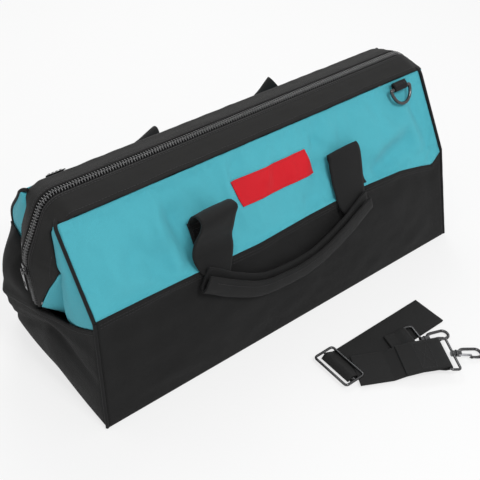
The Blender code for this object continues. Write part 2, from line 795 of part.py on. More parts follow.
def add_handle(prefix, side, rise, reach):
    """Both anchors, both hanging straps and the grip of one handle."""
    lift = GAP + WEBBING
    axis = handle_axis(side)
    for label, end in (("left", -1), ("right", 1)):
        x = end * HANDLE_SPREAD / 2
        bottom = SEAM_HEIGHT + ANCHOR_START
        rows = []
        for height in (bottom, mix(bottom, ANCHOR_TOP_HEIGHT, 0.5), ANCHOR_TOP_HEIGHT):
            rows.append([upper_face(x + edge * WEB_WIDTH / 2, height, lift, side) for edge in (-1, 0, 1)])
        add_sheet(f"{prefix}_handle_{label}_anchor", rows, WEBBING, (0, side, 0), BLACK_WEB)
        strap = add_ribbon(
            f"{prefix}_handle_{label}_strap", handle_path(rise, reach), WEBBING,
            lambda p, x=x: Vector((x, side * p.x, p.y)), Vector((WEB_WIDTH, 0, 0)))
        set_origin(strap, axis)
    loops = []
    for step in range(GRIP_STEPS + 1):
        share = step / GRIP_STEPS
        here = grip_station(share, side)
        before = grip_station(max(share - 0.5 / GRIP_STEPS, 0), side)
        after = grip_station(min(share + 0.5 / GRIP_STEPS, 1), side)
        along = (after - before).normalized()
        out = Vector((0, 1, 0))
        up = along.cross(out).normalized()
        loop = []
        for corner in range(SMALL_STEPS):
            angle = 2 * math.pi * corner / SMALL_STEPS
            sideways = out * (GRIP_THICK / 2 * math.cos(angle))
            loop.append(here + sideways + up * (GRIP_DEPTH / 2 * math.sin(angle)))
        loops.append(loop)
    grip = add_object(f"{prefix}_handle_grip", loft("grip", loops), BLACK_WEB, 0.8)
    set_origin(grip, axis)


def handle_axis(side):
    """Return a point on the line that a handle turns about."""
    point = upper_face(0, ANCHOR_TOP_HEIGHT, GAP + WEBBING / 2, side)
    return Vector((0, point.y, point.z))


def ring_frame(side):
    """Return the D-ring bar's place and the direction that the ring hangs in."""
    lift = GAP + RING_WIRE_RADIUS + TAB_WALL + TAB_HOLE_CLEARANCE + GAP
    height = RIM_HEIGHT - TAB_TAIL * UPPER_COS
    bar = upper_face(-side * RING_X, height, lift, side)
    down = Vector((0, side * UPPER_SIN, -UPPER_COS))
    return bar, down


def add_d_ring(prefix, side):
    """D-ring and the sewn tab that holds its bar."""
    bar, down = ring_frame(side)
    half = RING_WIDTH / 2 - RING_WIRE_RADIUS
    depth = RING_LENGTH - 2 * RING_WIRE_RADIUS
    points = [bar + Vector((-half, 0, 0)), bar, bar + Vector((half, 0, 0))]
    for step in range(1, ROUND_STEPS):
        angle = math.pi * step / ROUND_STEPS
        points.append(bar + Vector((half * math.cos(angle), 0, 0)) + down * (depth * math.sin(angle)))
    ring = add_tube(f"{prefix}_d_ring", points, RING_WIRE_RADIUS, RING_SIDES, True, GUNMETAL, 0.25, 1.0)
    set_origin(ring, bar)
    hole = RING_WIRE_RADIUS + TAB_HOLE_CLEARANCE
    outer = hole + TAB_WALL
    normal = Vector((0, side * UPPER_COS, UPPER_SIN))
    profile = []
    for step in range(ROUND_STEPS // 2 + 1):
        angle = math.pi * step / (ROUND_STEPS // 2)
        profile.append(bar + normal * (outer * math.cos(angle)) + down * (outer * math.sin(angle)))
    tail = -down * (TAB_TAIL - GAP)
    profile.append(bar + tail * 0.9 - normal * outer)
    profile.append(bar + tail - normal * (outer - TAB_WALL))
    across = Vector((TAB_WIDTH / 2, 0, 0))
    loops = [[p - across for p in profile], [p + across for p in profile]]
    tab = add_object(f"{prefix}_d_ring_tab", loft("tab", loops), BLACK_WEB, 0.8)
    reach = Vector((TAB_WIDTH / 2 + CUT_OVERRUN, 0, 0))
    boolean(tab, cylinder_mesh("hole", bar - reach, bar + reach, hole, ROUND_STEPS), "DIFFERENCE")


def end_frame(height, depth):
    """Return a point on the left end run, a depth under the zip line, and its directions."""
    out = Vector((-1, 0, 0))
    down = Vector((0, 0, -1))
    place = Vector((-KNEE_LENGTH / 2, 0, height)) - out * depth
    return place, out, down


def place_in_frame(mesh, origin, x_axis, y_axis, z_axis):
    """Turn a mesh from its own axes into a frame in space."""
    turn = Matrix((x_axis, y_axis, z_axis)).transposed().to_4x4()
    mesh.transform(Matrix.Translation(origin) @ turn)
    return mesh


def add_zip_slider():
    """Slider body over the coil, with the lug that holds its pull."""
    origin, out, down = end_frame(SLIDER_HEIGHT, COIL_TOP - GAP)
    across = down.cross(out)
    half_width = SLIDER_WIDTH / 2
    half_length = SLIDER_LENGTH / 2
    plate = box_mesh("zip_slider", (-half_width, -half_length, 0), (half_width, half_length, SLIDER_THICK))
    bm = bmesh.new()
    bm.from_mesh(plate)
    rim = [e for e in bm.edges if all(v.co.z > SLIDER_THICK / 2 for v in e.verts)]
    bmesh.ops.bevel(bm, geom=rim, offset=SLIDER_THICK * 0.7, segments=2, affect="EDGES", profile=0.5)
    bm.to_mesh(plate)
    bm.free()
    slider = add_object("zip_slider", plate, GUNMETAL, 0.35, 1.0)
    lug = box_mesh("lug", (-LUG_WIDTH / 2, -LUG_LENGTH / 2, SLIDER_THICK / 2),
                   (LUG_WIDTH / 2, LUG_LENGTH / 2, SLIDER_THICK + LUG_HEIGHT))
    boolean(slider, lug, "UNION")
    reach = LUG_WIDTH / 2 + CUT_OVERRUN
    eye = SLIDER_THICK + LUG_HEIGHT / 2
    hole = cylinder_mesh("hole", (-reach, 0, eye), (reach, 0, eye), LUG_HOLE_RADIUS, SMALL_STEPS)
    boolean(slider, hole, "DIFFERENCE")
    place_in_frame(slider.data, origin, across, down, out)
    set_origin(slider, origin)
    pin = origin + out * eye
    half = PULL_WIDTH / 2
    top = -PULL_PIN_RADIUS
    outline = [(-half, top), (half, top), (half, PULL_LENGTH * 0.55), (half * 0.72, PULL_LENGTH + top),
               (-half * 0.72, PULL_LENGTH + top), (-half, PULL_LENGTH * 0.55)]
    loops = [[(x, y, z) for x, y in outline] for z in (-PULL_THICK / 2, PULL_THICK / 2)]
    pull = add_object("zip_pull", loft("zip_pull", loops), GUNMETAL, 0.3, 1.0)
    slot_half = PULL_SLOT_WIDTH / 2
    slot = box_mesh("slot", (-slot_half, top - CUT_OVERRUN, -CUT_OVERRUN),
                    (slot_half, PULL_SLOT_LENGTH, CUT_OVERRUN))
    boolean(pull, slot, "DIFFERENCE")
    bar = cylinder_mesh("bar", (-half * 0.8, 0, 0), (half * 0.8, 0, 0), PULL_PIN_RADIUS, SMALL_STEPS)
    boolean(pull, bar, "UNION")
    place_in_frame(pull.data, pin, across, down, out)
    set_origin(pull, pin)


def rounded_loop(width, length, corner):
    """Return a rounded rectangle's points about its centre, length along X."""
    points = []
    half_x = length / 2 - corner
    half_y = width / 2 - corner
    for sign_x, sign_y, start in ((1, 1, 0), (-1, 1, 90), (-1, -1, 180), (1, -1, 270)):
        points += arc_points((sign_x * half_x, sign_y * half_y), corner, start, start + 90, 3)
    return points


def add_shoulder_strap():
    """Folded webbing, its sewn end, the tri-glide and the two snap hooks."""
    half = STRAP_THICK / 2
    pitch = STRAP_LAYER_PITCH
    low = half
    run = STRAP_RUN_LENGTH
    fold = pitch / 2
    path = [(GLIDE_LENGTH * 0.4, low), (run * 0.5, low), (run - fold, low)]
    path += arc_points((run - fold, low + fold), fold, -90, 90, 6)[1:]
    path += [(run * 0.5, low + pitch), (GLIDE_LENGTH * 0.95, low + pitch)]
    over = GLIDE_HEIGHT + GLIDE_WIRE_RADIUS + GAP + half
    path += [(GLIDE_LENGTH * 0.62, mix(low + pitch, over, 0.75)), (GLIDE_LENGTH * 0.5, over),
             (GLIDE_LENGTH * 0.38, mix(low + pitch, over, 0.75)), (GLIDE_LENGTH * 0.22, low + pitch)]
    origin = Vector((STRAP_RUN_X, STRAP_RUN_Y, 0))
    add_ribbon("shoulder_webbing", path, STRAP_THICK, lambda p: origin + Vector((p.x, 0, p.y)),
               Vector((0, WEB_WIDTH, 0)))
    centre = origin + Vector((GLIDE_LENGTH / 2, 0, GLIDE_HEIGHT))
    outline = [centre + Vector((x, y, 0))
               for x, y in rounded_loop(GLIDE_WIDTH, GLIDE_LENGTH + 2 * GLIDE_WIRE_RADIUS, LOOP_CORNER)]
    glide = add_tube("tri_glide", outline, GLIDE_WIRE_RADIUS, 2, True, GUNMETAL, 0.3, 1.0)
    reach = Vector((0, GLIDE_WIDTH / 2, 0))
    bar = cylinder_mesh("bar", centre - reach, centre + reach, GLIDE_WIRE_RADIUS * 0.9, SMALL_STEPS)
    boolean(glide, bar, "UNION")

    turn = Matrix.Rotation(math.radians(STRAP_END_TURN_DEG), 3, "Z")
    start = Vector((STRAP_END_X, STRAP_END_Y, 0))
    wrap = LOOP_WIRE_RADIUS + GAP + half
    end = STRAP_END_LENGTH
    under = [(end * along, mix(STRAP_END_LOW, STRAP_END_HIGH, rise)) for along, rise in STRAP_END_SHARES]
    step = STRAP_THICK + 2 * GAP
    over = [(x, z + step) for x, z in reversed(under[1:])]
    bar = STRAP_END_HIGH
    path = [(0, STRAP_END_LOW)] + under + [(end - wrap * 2, bar - wrap)]
    path += arc_points((end, bar), wrap, -90, 90, 6) + [(end - wrap * 2, bar + wrap)] + over
    add_ribbon("shoulder_webbing_end", path, STRAP_THICK,
               lambda p: start + turn @ Vector((p.x, 0, p.y)), turn @ Vector((0, WEB_WIDTH, 0)))
    add_snap_hook("hook_two", start + turn @ Vector((end, 0, bar)), STRAP_END_TURN_DEG, HOOK_TWO_PITCH_DEG)

    turn = Matrix.Rotation(math.radians(HOOK_ONE_TURN_DEG), 3, "Z")
    place = Vector((HOOK_ONE_X, HOOK_ONE_Y, HOOK_ONE_HEIGHT))
    path = [(-TAB_STRAP_LENGTH, -wrap), (-wrap * 2, -wrap)] + arc_points((0, 0), wrap, -90, 90, 6)
    path += [(-wrap * 2, wrap * 0.9), (-TAB_STRAP_LENGTH / 2, step - wrap), (-TAB_STRAP_LENGTH, step - wrap)]
    add_ribbon("shoulder_webbing_tab", path, STRAP_THICK,
               lambda p: place + turn @ Vector((p.x, 0, p.y)), turn @ Vector((0, WEB_WIDTH, 0)))
    add_snap_hook("hook_one", place, HOOK_ONE_TURN_DEG, HOOK_ONE_PITCH_DEG)


def add_snap_hook(name, place, turn_deg, pitch_deg):
    """Wire loop, swivelling hook and sprung gate, laid flat on the floor."""
    frame = (Matrix.Translation(place) @ Matrix.Rotation(math.radians(turn_deg), 4, "Z")
             @ Matrix.Rotation(math.radians(pitch_deg), 4, "Y"))
    outline = [Vector((x + LOOP_LENGTH / 2, y, 0))
               for x, y in rounded_loop(LOOP_WIDTH, LOOP_LENGTH, LOOP_CORNER)]
    loop = add_tube(f"{name}_loop", outline, LOOP_WIRE_RADIUS, 2, True, GUNMETAL, 0.3, 1.0)
    boss_start = LOOP_LENGTH - LOOP_BOSS_LENGTH / 2
    boss_end = LOOP_LENGTH + LOOP_BOSS_LENGTH / 2
    boolean(loop, cylinder_mesh("boss", (boss_start, 0, 0), (boss_end, 0, 0), LOOP_BOSS_RADIUS, ROUND_STEPS),
            "UNION")
    bore = SWIVEL_PIN_RADIUS + SWIVEL_CLEARANCE
    boolean(loop, cylinder_mesh("bore", (boss_start - CUT_OVERRUN, 0, 0), (boss_end + CUT_OVERRUN, 0, 0),
                                bore, ROUND_STEPS), "DIFFERENCE")
    loop.data.transform(frame)

    barrel_start = boss_end + GAP
    barrel_end = barrel_start + HOOK_BARREL_LENGTH
    body = add_object(f"{name}_body",
                      cylinder_mesh("barrel", (barrel_start, 0, 0), (barrel_end, 0, 0),
                                    HOOK_BARREL_RADIUS, ROUND_STEPS), GUNMETAL, 0.3, 1.0)
    pin_start = boss_start - GAP - SWIVEL_HEAD_LENGTH
    boolean(body, cylinder_mesh("pin", (pin_start, 0, 0), (barrel_start + GAP, 0, 0),
                                SWIVEL_PIN_RADIUS, ROUND_STEPS), "UNION")
    boolean(body, cylinder_mesh("head", (pin_start, 0, 0), (boss_start - GAP, 0, 0),
                                SWIVEL_HEAD_RADIUS, ROUND_STEPS), "UNION")
    half_width = HOOK_WIDTH / 2 - HOOK_WIRE_RADIUS
    straight_end = barrel_end + HOOK_LENGTH - HOOK_WIDTH / 2 - HOOK_WIRE_RADIUS
    points = [Vector((barrel_end - HOOK_WIRE_RADIUS, half_width * 0.3, 0)),
              Vector((barrel_end + HOOK_WIRE_RADIUS, half_width * 0.8, 0)),
              Vector((barrel_end + HOOK_WIRE_RADIUS * 3, half_width, 0))]
    points += [Vector((x, y, 0)) for x, y in
               arc_points((straight_end, 0), half_width, 90, -90, 8)]
    mouth = mix(straight_end, barrel_end, HOOK_OPEN_SHARE)
    points.append(Vector((mouth, -half_width, 0)))
    wire = add_tube("wire", points, HOOK_WIRE_RADIUS, 2, False, GUNMETAL, 0.3, 1.0)
    boolean(body, wire.data.copy(), "UNION")
    bpy.data.objects.remove(wire, do_unlink=True)
    pin_x = barrel_end - HOOK_BARREL_LENGTH * 0.35
    pin_y = -HOOK_BARREL_RADIUS * 0.45
    slot_low = (pin_x - GATE_THICK, -HOOK_BARREL_RADIUS - CUT_OVERRUN, -GATE_WIDTH / 2 - GAP)
    slot_high = (barrel_end + CUT_OVERRUN, pin_y + GATE_THICK, GATE_WIDTH / 2 + GAP)
    boolean(body, box_mesh("slot", slot_low, slot_high), "DIFFERENCE")
    body.data.transform(frame)
    set_origin(body, place)

    tip = mouth + GATE_LAP
    thick = GATE_THICK / 2
    outer = -half_width + HOOK_WIRE_RADIUS + GAP
    outline = [(pin_x - thick, pin_y + thick), (pin_x + thick * 2, pin_y + thick),
               (barrel_end + GATE_THICK * 1.5, outer + GATE_THICK), (tip, outer + GATE_THICK),
               (tip, outer), (barrel_end + GATE_THICK, outer), (pin_x - thick, pin_y - thick * 2)]
    loops = [[(x, y, z) for x, y in outline] for z in (-GATE_WIDTH / 2, GATE_WIDTH / 2)]
    gate = add_object(f"{name}_gate", loft("gate", loops), STEEL, 0.3, 1.0)
    gate.data.transform(frame)
    set_origin(gate, frame @ Vector((pin_x, pin_y, 0)))


def build():
    """Build every piece of the bag."""
    clear_scene()
    add_base()
    for side_name, side in (("front", -1), ("rear", 1)):
        add_lower_side(f"lower_{side_name}_panel", side)
        add_upper_side(f"upper_{side_name}_panel", side)
        add_mouth_half(side_name, side)
        add_d_ring(side_name, side)
        for end_name, end in (("left", -1), ("right", 1)):
            add_piping(end, side, end_name, side_name)
            add_gusset(f"{side_name}_{end_name}_gusset", end, side)
    add_lower_end("lower_left_end", -1)
    add_lower_end("lower_right_end", 1)
    add_wire_frame("front_wire_frame", -1, 0)
    add_wire_frame("rear_wire_frame", 1, 1)
    add_rivet("left_pivot_rivet", -1)
    add_rivet("right_pivot_rivet", 1)
    add_label_patch()
    add_handle("front", -1, FRONT_FOLD_RISE, FRONT_FOLD_REACH)
    add_handle("rear", 1, REAR_FOLD_RISE, REAR_FOLD_REACH)
    add_zip_slider()
    add_shoulder_strap()


if __name__ == "__main__":
    build()
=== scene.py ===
"""Looks of a fabric tool bag with a wire-framed zip mouth and a loose shoulder strap.

Units are metres, +Z is up, +X runs to the bag's right end and -Y is the front.
Each sub-assembly is a class that holds its sizes, builds its pieces and dresses them.
"""

import logging
import math
from collections.abc import Callable, Iterable
from dataclasses import dataclass
from enum import Enum
from typing import TypeVar

import bmesh
import bpy
import numpy as np
from mathutils import Matrix, Vector, noise
from mathutils.bvhtree import BVHTree


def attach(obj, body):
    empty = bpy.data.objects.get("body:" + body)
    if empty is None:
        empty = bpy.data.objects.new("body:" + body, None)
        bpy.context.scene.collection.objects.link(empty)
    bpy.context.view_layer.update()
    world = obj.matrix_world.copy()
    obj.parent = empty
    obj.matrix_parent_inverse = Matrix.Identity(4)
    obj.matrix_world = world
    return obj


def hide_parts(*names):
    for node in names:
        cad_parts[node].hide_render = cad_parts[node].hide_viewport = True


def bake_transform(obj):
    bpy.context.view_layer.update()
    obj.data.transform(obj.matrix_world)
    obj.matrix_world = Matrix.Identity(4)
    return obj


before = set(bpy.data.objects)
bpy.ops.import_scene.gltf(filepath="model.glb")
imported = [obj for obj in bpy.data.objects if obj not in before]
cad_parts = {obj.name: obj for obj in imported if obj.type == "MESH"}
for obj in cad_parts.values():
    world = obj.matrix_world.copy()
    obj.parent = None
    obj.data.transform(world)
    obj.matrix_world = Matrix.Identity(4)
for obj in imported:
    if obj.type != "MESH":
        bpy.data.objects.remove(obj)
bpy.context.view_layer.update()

logging.basicConfig(level=logging.INFO, format="%(levelname)s %(message)s")
LOG = logging.getLogger("tool_bag")

Amount = TypeVar("Amount", float, np.ndarray)
Pair = tuple[float, float]
Triple = tuple[float, float, float]
Piece = bpy.types.Object
Socket = bpy.types.NodeSocket

UV_NAME = "cloth"

FRONT = -1
REAR = 1
LEFT = -1
RIGHT = 1
SIDES = {"front": FRONT, "rear": REAR}
ENDS = {"left": LEFT, "right": RIGHT}
PLAIN_SCALE = (1.0, 1.0, 1.0)
ORIGIN = (0.0, 0.0, 0.0)
TINY = 0.0001
NOT_ZERO = 1e-9
WELD = 0.00005
FINE_WELD = 0.00001
SHARP_ANGLE = 0.6


def mix(low: Amount, high: Amount, share: float) -> Amount:
    """Blend two values or arrays, from low at share 0 to high at share 1."""
    return low + (high - low) * share


def smooth(low: float, high: float, value: float | np.ndarray) -> np.ndarray:
    """Ease from 0 to 1 as the value goes from low to high."""
    share = np.clip((np.asarray(value, float) - low) / (high - low), 0.0, 1.0)
    return share * share * (3.0 - 2.0 * share)


def ripple(x: float, y: float, size: float, seed: float) -> float:
    """Return smooth noise from about -1 to 1, its waves as large as size."""
    return noise.noise(Vector((x / size, y / size, seed)))


# Finishes


class Weave(Enum):
    """How a cloth's yarns cross."""

    PLAIN = "plain"
    WEBBING = "webbing"
    TWILL = "twill"


class NodeMaker:
    """Adds nodes to one node tree and links them."""

    def __init__(self, tree: bpy.types.NodeTree) -> None:
        """Take the tree that the nodes go into."""
        self.tree = tree

    def feed(self, target: Socket, value: object) -> None:
        """Give an input its value.

        Args:
            target: The input.
            value: A socket to link to it, or a plain value.
        """
        if isinstance(value, Socket):
            self.tree.links.new(value, target)
        else:
            target.default_value = value

    def add(self, kind: str, inputs: dict[int | str, object] | None = None,
            **settings: object) -> bpy.types.Node:
        """Add a node.

        Args:
            kind: The node's type name.
            inputs: Sockets or plain values for its inputs.
            settings: Properties to set on it.

        Returns:
            The new node.
        """
        node = self.tree.nodes.new(kind)
        for key, value in settings.items():
            setattr(node, key, value)
        for key, value in (inputs or {}).items():
            self.feed(node.inputs[key], value)
        return node

    def math(self, operation: str, *values: object) -> Socket:
        """Return the result of a Math node on sockets or numbers."""
        return self.add("ShaderNodeMath", dict(enumerate(values)), operation=operation).outputs[0]

    def noise(self, scale: float, detail: float = 3.0, roughness: float = 0.55) -> Socket:
        """Return noise in the object's own metres, with scale waves to the metre."""
        place = self.add("ShaderNodeTexCoord").outputs["Object"]
        return self.add("ShaderNodeTexNoise", {"Vector": place, "Scale": scale, "Detail": detail,
                                               "Roughness": roughness}).outputs["Fac"]

    def spread(self, value: Socket, low: float, high: float) -> Socket:
        """Return a value from 0 to 1 mapped to the range from low to high."""
        inputs = {"Value": value, "To Min": low, "To Max": high}
        return self.add("ShaderNodeMapRange", inputs).outputs["Result"]

    def tint(self, colour: Triple, value: Socket) -> Socket:
        """Return a colour multiplied by a value."""
        node = self.add("ShaderNodeVectorMath", {0: colour, "Scale": value}, operation="SCALE")
        return node.outputs["Vector"]

    def bump(self, height: Socket, distance: float, under: Socket | None = None) -> Socket:
        """Add a bump.

        Args:
            height: Its height, 0 to 1.
            distance: Relief in metres.
            under: A normal to build on.

        Returns:
            The bumped normal.
        """
        inputs = {"Strength": 1.0, "Distance": distance, "Height": height}
        if under is not None:
            inputs["Normal"] = under
        return self.add("ShaderNodeBump", inputs).outputs["Normal"]


@dataclass(frozen=True)
class Finish:
    """What a piece is made of, and the record's material slot for it."""

    name: str
    slot: str
    colour: Triple
    roughness: float

    def inputs(self, maker: NodeMaker) -> dict[str, object]:
        """Return the shader's inputs, which each kind of finish works out."""
        raise NotImplementedError

    def material(self) -> bpy.types.Material:
        """Return the finish's material, made once.

        Returns:
            The material.
        """
        title = f"look_{self.name}"
        known = bpy.data.materials.get(title)
        if known is not None:
            return known
        material = bpy.data.materials.new(title)
        material.use_nodes = True
        maker = NodeMaker(material.node_tree)
        shader = material.node_tree.nodes["Principled BSDF"]
        for key, value in self.inputs(maker).items():
            maker.feed(shader.inputs[key], value)
        return material


@dataclass(frozen=True)
class ClothFinish(Finish):
    """A woven cloth or webbing, with its yarn pitch and relief in metres."""

    weave: Weave
    pitch: float
    relief: float
    sheen: float
    mottle: float
    crease: float
    cloud_waves: float = 14.0
    crease_waves: float = 45.0
    fuzz_waves: float = 900.0
    fuzz: float = 0.10
    # Base colour from dark in the gaps between yarns to light on the yarn tops: painted shade and painted
    # highlight of the weave.
    yarn_painted_shading: Pair = (0.80, 1.10)
    dry: float = 0.12
    sheen_roughness: float = 0.5
    specular: float = 0.16

    def yarns(self, maker: NodeMaker) -> Socket:
        """Build the weave's height from the piece's own UV, in metres.

        Args:
            maker: The material's node maker.

        Returns:
            The yarn height, 0 to 1.
        """
        uv = maker.add("ShaderNodeUVMap", uv_map=UV_NAME).outputs["UV"]
        parts = maker.add("ShaderNodeSeparateXYZ", {0: uv}).outputs
        across = maker.math("DIVIDE", parts[0], self.pitch)
        along = maker.math("DIVIDE", parts[1], self.pitch)
        if self.weave is Weave.WEBBING:
            shift = maker.math("MULTIPLY", maker.math("MODULO", maker.math("FLOOR", across), 2.0), 0.5)
            along = maker.math("ADD", maker.math("MULTIPLY", along, 0.5), shift)
        if self.weave is Weave.TWILL:
            along = maker.math("ADD", along, maker.math("MULTIPLY", across, 0.5))
        warp = maker.math("SINE", maker.math("MULTIPLY", across, math.pi))
        weft = maker.math("SINE", maker.math("MULTIPLY", along, math.pi))
        high_warp = maker.math("ABSOLUTE", warp)
        high_weft = maker.math("ABSOLUTE", weft)
        if self.weave is not Weave.PLAIN:
            return maker.math("MULTIPLY", high_warp, maker.math("POWER", high_weft, 0.5))
        over = maker.math("GREATER_THAN", maker.math("MULTIPLY", warp, weft), 0.0)
        return maker.add("ShaderNodeMix", {0: over, 2: high_weft, 3: high_warp}).outputs[0]

    def inputs(self, maker: NodeMaker) -> dict[str, object]:
        """Return the cloth's shader inputs.

        Args:
            maker: The material's node maker.

        Returns:
            Sockets or values by input name.
        """
        yarn = self.yarns(maker)
        cloud = maker.spread(maker.noise(self.cloud_waves), 1.0 - self.mottle, 1.0 + self.mottle)
        fuzz = maker.spread(maker.noise(self.fuzz_waves, 2.0), 1.0 - self.fuzz, 1.0 + self.fuzz)
        # The yarn height darkens the gaps between yarns and lightens their tops, painted shade and painted
        # highlight; the cloud and fuzz noise are random tone.
        shade = maker.math("MULTIPLY", cloud, maker.spread(yarn, *self.yarn_painted_shading))
        soft = maker.bump(maker.noise(self.crease_waves, 4.0), self.crease)
        return {"Base Color": maker.tint(self.colour, maker.math("MULTIPLY", shade, fuzz)),
                "Roughness": maker.spread(yarn, min(self.roughness + self.dry, 1.0), self.roughness),
                "Normal": maker.bump(yarn, self.relief, soft), "Sheen Weight": self.sheen,
                "Sheen Roughness": self.sheen_roughness, "Specular IOR Level": self.specular}


@dataclass(frozen=True)
class HardFinish(Finish):
    """A metal, plastic, thread or board, with its grain's waves to the metre."""

    metallic: float
    grain: float
    relief: float
    coat: float = 0.0
    coat_roughness: float = 0.12
    worn_waves: float = 160.0
    worn_shades: Pair = (0.82, 1.18)

    def inputs(self, maker: NodeMaker) -> dict[str, object]:
        """Return the hard piece's shader inputs.

        Args:
            maker: The material's node maker.

        Returns:
            Sockets or values by input name.
        """
        grain = maker.noise(self.grain, 4.0)
        worn = maker.spread(maker.noise(self.worn_waves, 2.0), *self.worn_shades)
        return {"Base Color": maker.tint(self.colour, worn), "Normal": maker.bump(grain, self.relief),
                "Roughness": maker.spread(grain, self.roughness * 0.75, min(self.roughness * 1.3, 1.0)),
                "Metallic": self.metallic, "Coat Weight": self.coat, "Coat Roughness": self.coat_roughness}


TEAL_NYLON = ClothFinish("teal_nylon", "teal_nylon", (0.088, 0.470, 0.560), 0.66, Weave.PLAIN,
                         0.00085, 0.00010, 0.08, 0.05, 0.0014)
# BLACK_NYLON and BAND_NYLON are one black nylon in two copies: the band's, on its upward face, is set lighter
# in painted light, the lower cloth's darker in painted shade.
BLACK_NYLON = ClothFinish("black_nylon", "black_nylon", (0.0112, 0.0112, 0.0113), 0.74, Weave.PLAIN,
                          0.00105, 0.00014, 0.03, 0.12, 0.0013)
BAND_NYLON = ClothFinish("band_nylon", "black_nylon", (0.0150, 0.0148, 0.0145), 0.70, Weave.TWILL,
                         0.00090, 0.00010, 0.03, 0.10, 0.0006)
# WEBBING and LIT_STRAP_WEBBING are one black webbing in two copies: the shoulder strap's, lying face up on
# the floor, is set lighter in painted light, the handles' darker in painted shade.
WEBBING = ClothFinish("black_webbing", "black_webbing", (0.0108, 0.0108, 0.0110), 0.66, Weave.WEBBING,
                      0.00125, 0.00022, 0.04, 0.08, 0.0004)
LIT_STRAP_WEBBING = ClothFinish("strap_webbing", "black_webbing", (0.0190, 0.0190, 0.0190), 0.66, Weave.WEBBING,
                            0.00125, 0.00026, 0.04, 0.10, 0.0004)
PIPING = ClothFinish("black_piping", "black_webbing", (0.0100, 0.0100, 0.0104), 0.62, Weave.TWILL,
                     0.00060, 0.00008, 0.03, 0.06, 0.0002)
# The tape's black is set far darker than the other black cloth: painted shade in the recess beside and under
# the coil's turns.
ZIP_TAPE = ClothFinish("zip_tape", "black_webbing", (0.0040, 0.0040, 0.0042), 0.85, Weave.TWILL,
                       0.00070, 0.00012, 0.01, 0.05, 0.0002)
RED_PATCH = ClothFinish("red_patch", "red_patch", (0.680, 0.012, 0.022), 0.55, Weave.TWILL,
                        0.00050, 0.00005, 0.05, 0.04, 0.0003)
THREAD = HardFinish("black_thread", "black_webbing", (0.022, 0.022, 0.023), 0.55, 0.0, 2600.0, 0.00004)
RED_THREAD = HardFinish("red_thread", "red_patch", (0.420, 0.012, 0.020), 0.50, 0.0, 2600.0, 0.00004)
# The coil's grey is lighter than the zip's own black: painted highlight standing in for its glints.
COIL = HardFinish("zip_coil", "zip_coil", (0.092, 0.092, 0.094), 0.22, 0.0, 700.0, 0.00001, 0.7)
GUNMETAL = HardFinish("gunmetal", "gunmetal", (0.036, 0.036, 0.038), 0.16, 1.0, 500.0, 0.00002, 1.0)
SLIDER_METAL = HardFinish("slider_metal", "gunmetal", (0.024, 0.024, 0.025), 0.28, 1.0, 500.0, 0.00002, 0.5)
STEEL = HardFinish("steel_wire", "steel_wire", (0.42, 0.42, 0.44), 0.28, 1.0, 900.0, 0.00002)
BOARD = HardFinish("base_board", "base_board", (0.050, 0.048, 0.046), 0.72, 0.0, 260.0, 0.00008)


# Mesh helpers


def add_object(name: str, data: bpy.types.ID) -> Piece:
    """Put a new object with its data into the scene.

    Args:
        name: The object's name.
        data: Its mesh, light or camera.

    Returns:
        The object.
    """
    obj = bpy.data.objects.new(name, data)
    bpy.context.scene.collection.objects.link(obj)
    return obj


def finish_bmesh(name: str, bm: bmesh.types.BMesh, finish: Finish, sharp_deg: float = 50.0) -> Piece:
    """Write a bmesh to a dressed, smooth-shaded piece.

    Args:
        name: The piece's name.
        bm: The bmesh, which is freed.
        finish: What it is made of.
        sharp_deg: Edges sharper than this stay sharp.

    Returns:
        The new piece.
    """
    mesh = bpy.data.meshes.new(name)
    bm.to_mesh(mesh)
    bm.free()
    mesh.materials.append(finish.material())
    mesh.shade_smooth()
    mesh.set_sharp_from_angle(angle=math.radians(sharp_deg))
    obj = add_object(name, mesh)
    LOG.info("%s: %d faces", name, len(mesh.polygons))
    return obj


def point_grid(place: Callable[[float, float], Iterable[float]], rows: Iterable[float],
               columns: Iterable[float]) -> np.ndarray:
    """Return the grid of points that a function gives for each row's and column's value."""
    return np.array([[place(row, column) for column in columns] for row in rows])


def grid_lengths(grid: np.ndarray) -> tuple[np.ndarray, np.ndarray]:
    """Measure a grid of points along its rows and its columns.

    Args:
        grid: Rows by columns by 3.

    Returns:
        Distance along each row, and distance along each column, at each point.
    """
    across = np.linalg.norm(np.diff(grid, axis=1), axis=2)
    along = np.linalg.norm(np.diff(grid, axis=0), axis=2)
    across = np.concatenate([np.zeros((grid.shape[0], 1)), np.cumsum(across, axis=1)], axis=1)
    along = np.concatenate([np.zeros((1, grid.shape[1])), np.cumsum(along, axis=0)], axis=0)
    return across, along


def add_quads(bm: bmesh.types.BMesh, verts: list[list[bmesh.types.BMVert]],
              uv: np.ndarray) -> list[bmesh.types.BMFace]:
    """Join rows of vertices into quads.

    Args:
        bm: The bmesh.
        verts: Rows of vertices.
        uv: Rows by columns by 2, in metres.

    Returns:
        The faces.
    """
    layer = bm.loops.layers.uv.get(UV_NAME) or bm.loops.layers.uv.new(UV_NAME)
    faces = []
    for r in range(len(uv) - 1):
        for c in range(len(uv[0]) - 1):
            corners = ((r, c), (r, c + 1), (r + 1, c + 1), (r + 1, c))
            face = bm.faces.new([verts[i][j] for i, j in corners])
            for loop, (i, j) in zip(face.loops, corners):
                loop[layer].uv = uv[i][j]
            faces.append(face)
    return faces


